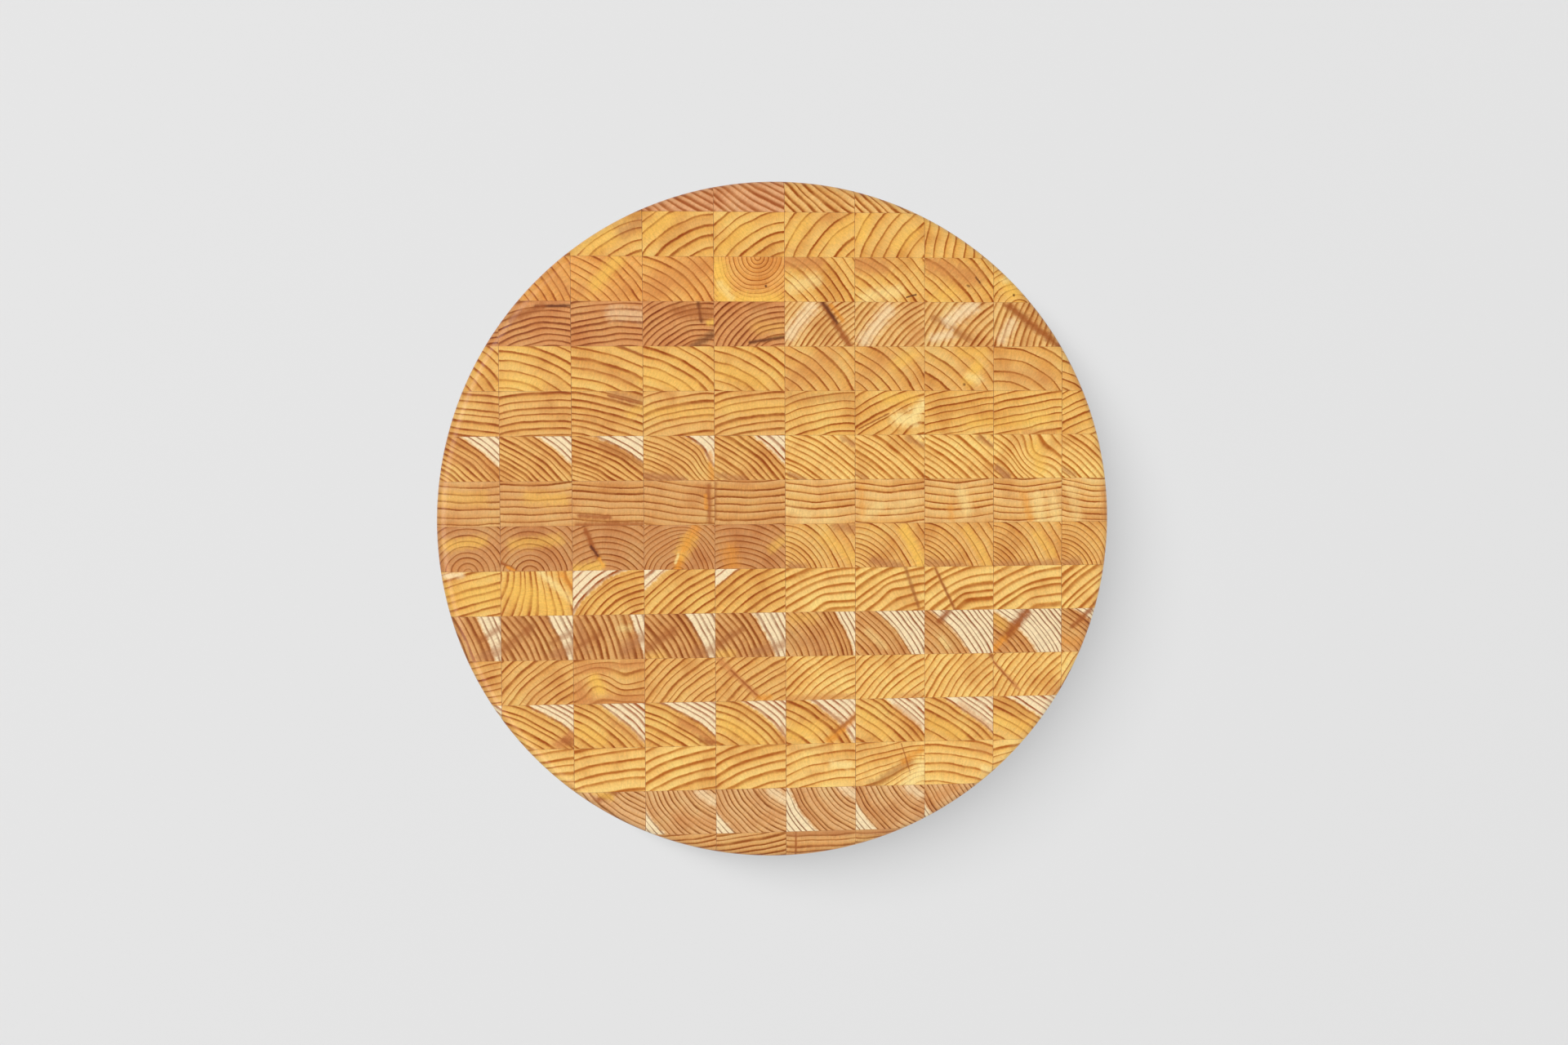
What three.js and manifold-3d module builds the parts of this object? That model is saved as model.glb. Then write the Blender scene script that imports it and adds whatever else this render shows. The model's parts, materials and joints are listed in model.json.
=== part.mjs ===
// Round end-grain cutting board, glued up from larch blocks.
//
// Planks are glued face to face into a panel. The panel is sawn across into strips, each strip is turned so that its
// end grain faces up, and the strips are glued side by side. The slab is then sawn round and its rim is rounded over.
// Millimetres, +Z up, strips along Y. The origin is the centre of the underside.
import * as THREE from "three";
import { mergeVertices } from "three/addons/utils/BufferGeometryUtils.js";
import Module from "manifold-3d";

// Finished board
const BOARD_DIAMETER = 340;
const BOARD_THICKNESS = 40;
const EDGE_RADIUS = 5;

// Wood and glue that the slab is made of
const STRIP_WIDTH = 35.3;
const PLANK_THICKNESS = 22.05;
const GLUE_THICKNESS = 0.2;

// Middle of the centre block: the round outline was sawn a little off the middle of the slab
const CENTRE_BLOCK_X = -14.75;
const CENTRE_BLOCK_Y = 9.8;

// An odd number of blocks is joined along a strip into one run, the centre block in the middle of its run
const BLOCKS_PER_RUN = 3;

// A corner of wood narrower than this stays with the piece beside it
const SMALLEST_CORNER = 1.5;

// Facets around the rim and over each rounded edge
const RIM_FACETS = 240;
const EDGE_FACETS = 5;

// Sawing planes stand clear of both faces, and lie on a fine step so that neighbours share a plane exactly
const SAW_CLEARANCE = 1;
const SAW_STEP = 1 / 256;

// Oiled larch in the tones of its planks, and the dried glue
const LARCH_TONES = [0xd9a35c, 0xc98b50, 0xdcaf6c];
const LARCH_ROUGHNESS = 0.55;
const GLUE_COLOUR = 0x6b4424;
const GLUE_ROUGHNESS = 0.6;

const boardRadius = BOARD_DIAMETER / 2;
const stripPitch = STRIP_WIDTH + GLUE_THICKNESS;
const plankPitch = PLANK_THICKNESS + GLUE_THICKNESS;

const wasm = await Module();
wasm.setup();

// Solids

function solidOf(geometry) {
  geometry.deleteAttribute("normal");
  geometry.deleteAttribute("uv");
  const merged = mergeVertices(geometry);
  const mesh = new wasm.Mesh({
    numProp: 3,
    vertProperties: merged.attributes.position.array,
    triVerts: new Uint32Array(merged.index.array),
  });
  return new wasm.Manifold(mesh);
}

function geometryOf(solid) {
  const mesh = solid.getMesh();
  const geometry = new THREE.BufferGeometry();
  geometry.setAttribute("position", new THREE.BufferAttribute(mesh.vertProperties, 3));
  geometry.setIndex(new THREE.BufferAttribute(mesh.triVerts, 1));
  geometry.computeVertexNormals();
  return geometry;
}

// A rounded edge of the slab as a quarter circle at the given height, from its first angle upwards
function roundedEdge(height, firstAngle) {
  const angles = Array.from({ length: EDGE_FACETS + 1 }, (_, i) => firstAngle + (i * Math.PI) / 2 / EDGE_FACETS);
  const centre = new THREE.Vector2(boardRadius - EDGE_RADIUS, height);
  return angles.map((angle) => {
    const spoke = new THREE.Vector2(Math.cos(angle), Math.sin(angle));
    return spoke.multiplyScalar(EDGE_RADIUS).add(centre);
  });
}

// The whole round slab, turned from its section, with both rims rounded over
function roundSlab() {
  const section = [
    new THREE.Vector2(0, 0),
    ...roundedEdge(EDGE_RADIUS, -Math.PI / 2),
    ...roundedEdge(BOARD_THICKNESS - EDGE_RADIUS, 0),
    new THREE.Vector2(0, BOARD_THICKNESS),
  ];
  const geometry = new THREE.LatheGeometry(section, RIM_FACETS);
  geometry.rotateX(Math.PI / 2);
  return solidOf(geometry);
}

// The part of the slab between two planes across X and two planes across Y
function sawnFrom(slab, xPlanes, yPlanes) {
  const onStep = (plane) => Math.round(plane / SAW_STEP) * SAW_STEP;
  const [left, right] = xPlanes.map(onStep);
  const [front, back] = yPlanes.map(onStep);
  const height = BOARD_THICKNESS + 2 * SAW_CLEARANCE;
  const saw = new THREE.BoxGeometry(right - left, back - front, height);
  saw.translate((left + right) / 2, (front + back) / 2, BOARD_THICKNESS / 2);
  return slab.intersect(solidOf(saw));
}

// Layout

// Spans of an even pitch that fill a reach to both sides of the origin, numbered outwards from the one at the centre
function spansAround(centre, pitch, reach) {
  const limit = reach - SMALLEST_CORNER;
  const first = Math.ceil((-limit - centre) / pitch - 0.5);
  const last = Math.floor((limit - centre) / pitch + 0.5);
  const joint = (number) => centre + (number + 0.5) * pitch;
  return Array.from({ length: last - first + 1 }, (_, i) => {
    const number = first + i;
    const low = number === first ? -reach : joint(number - 1);
    const high = number === last ? reach : joint(number);
    return { number, low, high };
  });
}

// Strips from left to right, each with its sides half a glue line inside the joints
function layOutStrips() {
  const spans = spansAround(CENTRE_BLOCK_X, stripPitch, boardRadius);
  return spans.map(({ number, low, high }, i) => {
    const left = i === 0 ? low : low + GLUE_THICKNESS / 2;
    const right = i === spans.length - 1 ? high : high - GLUE_THICKNESS / 2;
    return { number, sides: [left, right] };
  });
}

// Runs of a strip from front to back: the strip is longest at the side nearest to the board's centre
function layOutRuns({ sides: [left, right] }) {
  const nearest = Math.max(0, left, -right);
  const halfLength = Math.sqrt(boardRadius ** 2 - nearest ** 2);
  return spansAround(CENTRE_BLOCK_Y, BLOCKS_PER_RUN * plankPitch, halfLength);
}

// Pieces

// A piece's name: numbered outwards on either side of the one in the middle
function nameOf(number, [below, middle, above], piece) {
  if (number === 0) return `${middle}_${piece}`;
  return number < 0 ? `${below}_${piece}_${-number}` : `${above}_${piece}_${number}`;
}

function larchTone(number) {
  const color = LARCH_TONES[Math.abs(number) % LARCH_TONES.length];
  return new THREE.MeshStandardMaterial({ color, roughness: LARCH_ROUGHNESS, metalness: 0 });
}

// One strip: its runs of blocks, face to face
function stripGroup(slab, strip) {
  const group = new THREE.Group();
  group.name = nameOf(strip.number, ["left", "centre", "right"], "strip");
  layOutRuns(strip).forEach(({ number, low, high }) => {
    const solid = sawnFrom(slab, strip.sides, [low, high]);
    const run = new THREE.Mesh(geometryOf(solid), larchTone(strip.number + number));
    run.name = `${group.name}_${nameOf(number, ["front", "middle", "back"], "run")}`;
    group.add(run);
  });
  return group;
}

// The glue between a strip and the next one to its right, numbered with the strip that is further out
function glueLine(slab, strip, next) {
  const solid = sawnFrom(slab, [strip.sides[1], next.sides[0]], [-boardRadius, boardRadius]);
  const material = new THREE.MeshStandardMaterial({ color: GLUE_COLOUR, roughness: GLUE_ROUGHNESS, metalness: 0 });
  const line = new THREE.Mesh(geometryOf(solid), material);
  const outer = next.number > 0 ? next.number : strip.number;
  line.name = nameOf(outer, ["left", "centre", "right"], "glue_line");
  return line;
}

function cuttingBoard() {
  const board = new THREE.Group();
  board.name = "round_cutting_board";
  const slab = roundSlab();
  const strips = layOutStrips();
  strips.forEach((strip) => board.add(stripGroup(slab, strip)));
  strips.slice(1).forEach((next, i) => board.add(glueLine(slab, strips[i], next)));
  return board;
}

export default cuttingBoard();
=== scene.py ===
"""Looks of a round end-grain cutting board, glued up from oiled larch blocks.

Each block of the board is a piece of its own, and the glue between the blocks is drawn as four lattices, one to a
quarter of the board. The lists of planks, knots and marks are in millimetres from a block's middle, as the board is
seen from above with its strips upright. Meshes are in metres.
"""

import json
import logging
import math
from dataclasses import dataclass, field
from enum import Enum
from typing import Sequence, Union

import bmesh
import bpy
import numpy as np
from mathutils import Matrix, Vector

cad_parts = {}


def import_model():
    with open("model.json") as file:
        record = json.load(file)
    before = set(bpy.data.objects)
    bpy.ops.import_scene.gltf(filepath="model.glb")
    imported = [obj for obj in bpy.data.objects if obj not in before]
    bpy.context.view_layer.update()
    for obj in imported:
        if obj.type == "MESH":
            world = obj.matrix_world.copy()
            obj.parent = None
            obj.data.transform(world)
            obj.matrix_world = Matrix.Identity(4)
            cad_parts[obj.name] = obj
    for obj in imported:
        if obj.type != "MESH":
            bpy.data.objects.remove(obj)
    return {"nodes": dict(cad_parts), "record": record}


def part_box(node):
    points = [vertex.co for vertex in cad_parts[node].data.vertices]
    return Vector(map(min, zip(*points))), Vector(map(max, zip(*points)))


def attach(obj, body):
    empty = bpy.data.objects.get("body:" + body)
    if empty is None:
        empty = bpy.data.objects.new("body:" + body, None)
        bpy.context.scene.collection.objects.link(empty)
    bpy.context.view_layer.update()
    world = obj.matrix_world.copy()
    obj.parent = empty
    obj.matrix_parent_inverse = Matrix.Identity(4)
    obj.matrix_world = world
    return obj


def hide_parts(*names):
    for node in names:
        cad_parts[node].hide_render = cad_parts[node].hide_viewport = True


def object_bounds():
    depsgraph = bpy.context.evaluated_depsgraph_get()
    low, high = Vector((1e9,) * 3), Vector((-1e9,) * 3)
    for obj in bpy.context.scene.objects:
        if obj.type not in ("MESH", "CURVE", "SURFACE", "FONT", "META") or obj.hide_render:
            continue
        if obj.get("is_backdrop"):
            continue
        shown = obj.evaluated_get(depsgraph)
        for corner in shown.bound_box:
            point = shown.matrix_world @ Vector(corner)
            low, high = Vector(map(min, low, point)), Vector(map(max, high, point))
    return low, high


LOG = logging.getLogger("cutting_board")
MM = 0.001
BODY = "root"
CENTRE_STRIP = "centre_strip"
MIDDLE_RUN = "_middle_run"

# Points nearer than this are one point, in metres, and faces that meet at more than this angle meet sharply
MERGE = 1e-7
SHARP = math.radians(30)

# Keeps a formula from dividing by nothing
LEAST = 0.01
TINY = 1e-12

Rgb = tuple[int, int, int]
Point = tuple[float, float]
Triple = tuple[float, float, float]
Place = tuple[int, int]
Surface = tuple[np.ndarray, np.ndarray, list[np.ndarray]]


def linear(colour: Rgb) -> Triple:
    """Turns an sRGB colour into linear light by the sRGB curve, channel by channel.

    Args:
        colour: Red, green and blue from 0 to 255.

    Returns:
        Red, green and blue from 0 to 1.
    """
    level = np.array(colour, float) / 255
    low, high = level / 12.92, ((level + 0.055) / 1.055) ** 2.4
    return tuple(np.where(level <= 0.04045, low, high).tolist())


def paint(colour: Rgb) -> tuple[float, float, float, float]:
    """Turns an sRGB colour into what a colour socket takes."""
    return (*linear(colour), 1.0)


# Planks

class Tone(Enum):
    """Earlywood and latewood colours that the planks have, in sRGB."""

    HONEY = ((239, 188, 104), (174, 92, 24))
    GOLD = ((232, 176, 92), (156, 70, 10))
    CORN = ((227, 169, 92), (150, 68, 12))
    AMBER = ((228, 159, 80), (150, 64, 12))
    RUSSET = ((219, 155, 102), (158, 82, 40))
    RUST = ((210, 140, 79), (122, 48, 16))
    UMBER = ((202, 138, 80), (132, 61, 16))
    TAN = ((220, 165, 105), (130, 64, 18))
    STRAW = ((230, 176, 103), (152, 72, 12))
    BISCUIT = ((216, 156, 90), (138, 65, 13))


class Tint(Enum):
    """Colours of the marks in the wood, in sRGB."""

    DARK = (98, 46, 20)
    BROWN = (160, 84, 34)
    RED = (204, 132, 72)
    ORANGE = (226, 146, 52)
    YELLOW = (242, 189, 86)
    PALE = (248, 218, 144)
    CREAM = (245, 217, 171)
    SMOKE = (176, 112, 68)


DARK, BROWN, RED, ORANGE, YELLOW, PALE, CREAM, SMOKE = Tint


@dataclass(frozen=True)
class Plank:
    """One plank of a panel, by the ends that its blocks show.

    Attributes:
        row: Row of blocks that the plank makes, counted from the back.
        first: Column of its first block, counted from the left.
        tone: Colours of its wood.
        late: Share of a ring that is latewood.
        ends: Growth rings of each block: pith across and along from the block's middle, ring width, ring started in.
        sap: For each block, how far past its middle the sapwood begins, in millimetres.
        widen: Share by which the rings widen with each millimetre outwards.
    """

    row: int
    first: int
    tone: Tone
    late: float
    ends: tuple[tuple[float, float, float, float], ...]
    sap: tuple[float, ...] = ()
    widen: float = 0.0


@dataclass(frozen=True)
class Knot:
    """A knot or swirl that pushes the rings of a block aside: its middle, reach and push, in millimetres."""

    x: float
    y: float
    reach: float
    push: float


@dataclass(frozen=True)
class Mark:
    """A streak, glow or speck on a block, along a line from one point to another.

    Attributes:
        x: Start of the line across, in millimetres from the block's middle.
        y: Start of the line along the strip.
        to_x: End of the line across.
        to_y: End of the line along the strip.
        width: Distance from the line at which the mark has faded out.
        strength: How much of the wood's colour it covers.
        tint: Its colour.
    """

    x: float
    y: float
    to_x: float
    to_y: float
    width: float
    strength: float
    tint: Tint


PLANKS = (
    Plank(0, 3, Tone.RUSSET, 0.36, ((46, 64, 3.2, 0.2), (44, 67, 3.2, 0.4))),
    Plank(0, 5, Tone.STRAW, 0.25, ((55, 62, 3.4, 0.1), (47, 52, 3, 0.6))),
    Plank(1, 1, Tone.GOLD, 0.15, ((30, -50, 5, 0.2), (30, -50, 5, 0.2), (25, -43, 5.6, 0.4), (27, -40, 5, 0.3))),
    Plank(1, 5, Tone.GOLD, 0.14, ((36, -32, 5.6, 0.3), (46, -30, 5.6, 0.5), (65, -20, 5, 0.1))),
    Plank(2, 1, Tone.AMBER, 0.16, ((-46, -40, 3.8, 0.1), (-36, -45, 3.8, 0.3), (-28, -35, 4.2, 0.5), (5, 11, 2, 0))),
    Plank(2, 5, Tone.GOLD, 0.15, ((-44, -40, 4, 0.2), (-42, -46, 4, 0.4), (-44, -44, 4.4, 0.1), (-5, -16, 3, 0))),
    Plank(3, 0, Tone.RUST, 0.26,
        ((20, -40, 2.8, 0), (8, -45, 2.9, 0.2), (8, -85, 3, 0.4), (12, -30, 2.6, 0.1), (17, -25, 2.7, 0.3))),
    Plank(3, 5, Tone.STRAW, 0.27, ((55, -50, 2.5, 0.2), (48, -45, 2.8, 0.1), (54, -44, 3.2, 0.4), (72, -30, 3.2, 0))),
    Plank(4, 0, Tone.GOLD, 0.18,
        ((-40, -50, 4.5, 0), (-20, -58, 4.6, 0.3), (-35, -105, 5, 0.5), (-33, -58, 4.6, 0.2), (-32, -55, 4.7, 0.1))),
    Plank(4, 5, Tone.CORN, 0.12,
        ((-36, -38, 5, 0.2), (-36, -38, 4.6, 0), (-45, -52, 5, 0.4), (-16, -33, 5.8, 0.1), (-30, -45, 4.4, 0.3))),
    Plank(5, 0, Tone.CORN, 0.23,
        ((-15, -150, 3.4, 0.1), (6, -85, 3.5, 0.3), (-35, -130, 3.4, 0.5), (14, -65, 3.7, 0.2), (12, -75, 3.7, 0))),
    Plank(5, 5, Tone.GOLD, 0.16,
        ((15, -65, 3.8, 0.2), (50, -100, 4.2, 0.4), (35, -170, 3.5, 0.1), (40, -200, 3.8, 0.3), (45, -120, 3.6, 0))),
    Plank(6, 0, Tone.CORN, 0.27,
        ((-55, -75, 2.5, 0), (-55, -72, 2.5, 0.4), (-42, -80, 2.5, 0.2), (-32, -48, 2.4, 0.1), (-55, -66, 2.7, 0.3)),
        (7.5, 9.3, 6, 11, 9), 0.008),
    Plank(6, 5, Tone.HONEY, 0.24,
        ((-55, -80, 2.8, 0.2), (-80, -100, 2.9, 0), (-80, -100, 3, 0.3), (-70, -70, 3, 0.1), (-70, -75, 2.8, 0.4)),
        (), 0.012),
    Plank(7, 0, Tone.BISCUIT, 0.17,
        ((5, 200, 3.8, 0.2), (-3, 180, 3.7, 0), (10, 220, 3.6, 0.3), (25, 180, 3.7, 0.1), (-2, 140, 3.8, 0.4))),
    Plank(7, 5, Tone.STRAW, 0.16,
        ((0, 100, 4, 0.1), (-1, 100, 3.8, 0.3), (-2, 90, 3.7, 0), (-2, 95, 3.5, 0.2), (12, 120, 3, 0.4))),
    Plank(8, 0, Tone.UMBER, 0.18,
        ((1, -12, 2.8, 0), (-3, -12, 2.8, 0.3), (-2, -22, 3, 0.1), (-2, -14, 2.4, 0.2), (-6, -28, 2.9, 0.4))),
    Plank(8, 5, Tone.CORN, 0.15,
        ((-25, -20, 2.9, 0.2), (-24, -22, 2.9, 0), (-25, -21, 2.9, 0.4), (-24, -19, 2.8, 0.1), (-22, -17, 2.6, 0.3)),
        (), 0.022),
    Plank(9, 0, Tone.GOLD, 0.22,
        ((60, -200, 3.8, 0.1), (-70, 4, 4.6, 0.3), (22, -32, 3.2, 0.2), (55, -75, 3.7, 0), (48, -72, 3.9, 0.4)),
        (99, 99, 7, 13, 13)),
    Plank(9, 5, Tone.HONEY, 0.3,
        ((25, -70, 4.2, 0.1), (35, -70, 4.2, 0.3), (22, -50, 4.2, 0), (26, -62, 4.4, 0.2), (50, -72, 3.8, 0.4))),
    Plank(10, 0, Tone.BISCUIT, 0.32,
        ((-70, -34, 2.9, 0), (-62, -34, 3, 0.2), (-75, -26, 3.2, 0.4), (-55, -32, 2.9, 0.1), (-58, -34, 2.9, 0.3)),
        (9.5, 9.5, 15, 8, 8)),
    Plank(10, 5, Tone.BISCUIT, 0.22,
        ((-40, -22, 2.7, 0.2), (-50, -40, 2.5, 0), (-52, -45, 2.5, 0.4), (-42, -38, 2.4, 0.1), (-48, -50, 2.2, 0.3)),
        (12.5, 3.5, -1, -1, 2), -0.012),
    Plank(11, 0, Tone.CORN, 0.2,
        ((40, -110, 3.2, 0.1), (44, -52, 3.3, 0.3), (8, -80, 4, 0), (48, -55, 3.1, 0.2), (46, -62, 3.3, 0.4))),
    Plank(11, 5, Tone.HONEY, 0.2,
        ((38, -55, 3.3, 0.2), (52, -58, 3.3, 0), (50, -42, 3.3, 0.3), (60, -48, 3.1, 0.1), (60, -45, 3.1, 0.4))),
    Plank(12, 0, Tone.GOLD, 0.27,
        ((-55, -80, 2.8, 0.1), (-50, -88, 3, 0.3), (-52, -66, 3.1, 0), (-55, -95, 3.2, 0.2), (-32, -42, 3.3, 0.4)),
        (6.3, 8, 4.5, 7, 6.5), -0.018),
    Plank(12, 5, Tone.GOLD, 0.25,
        ((-40, -48, 3.5, 0.2), (-70, -88, 3.3, 0), (-65, -95, 3.4, 0.3), (-60, -90, 3.2, 0.1)),
        (4, 6, 4.5, 3.5), -0.028),
    Plank(13, 1, Tone.HONEY, 0.24,
        ((20, -80, 3.8, 0.1), (20, -120, 4.9, 0.3), (25, -72, 4.6, 0), (24, -68, 4.6, 0.2))),
    Plank(13, 5, Tone.HONEY, 0.17,
        ((14, -75, 4.6, 0.2), (15, -110, 3.6, 0.4), (-18, -85, 4.6, 0.1), (5, -100, 3.8, 0.3))),
    Plank(14, 2, Tone.TAN, 0.23, ((40, 50, 2.6, 0.1), (32, 28, 2.3, 0.3), (31, 30, 2.3, 0)), (99, 13.5, 14)),
    Plank(14, 5, Tone.TAN, 0.22, ((33, 27, 2.3, 0.2), (40, 34, 2.4, 0.4), (45, 40, 2.3, 0.1)), (10.5, 11.5, 14)),
    Plank(15, 3, Tone.BISCUIT, 0.27, ((-10, 110, 2.9, 0.1), (-18, 130, 2.8, 0.3))),
    Plank(15, 5, Tone.BISCUIT, 0.24, ((-3, 150, 2.9, 0.2), (-5, 120, 2.7, 0))),
)

KNOTS: dict[Place, tuple[Knot, ...]] = {
    (5, 6): (Knot(12, -3, 6, -4),),
    (6, 3): (Knot(17, -4, 5, 3),),
    (6, 8): (Knot(2, 0, 6, 6),),
    (7, 3): (Knot(14.5, 0, 3.5, -1.8),),
    (8, 3): (Knot(3, 2, 5, -4),),
    (9, 1): (Knot(-20, 12, 11, -9), Knot(16, 13, 11, 11)),
    (9, 5): (Knot(4, -6, 4, -1.5),),
    (9, 6): (Knot(2, -2, 4, -1.5),),
    (9, 7): (Knot(4, -6, 4, -1.5),),
    (9, 8): (Knot(4, -8, 4, -1.5),),
    (11, 2): (Knot(-7, 0, 5.5, -5), Knot(7, 2, 6, 3.5)),
    (13, 6): (Knot(20, -12, 11, -14),),
}

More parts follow.
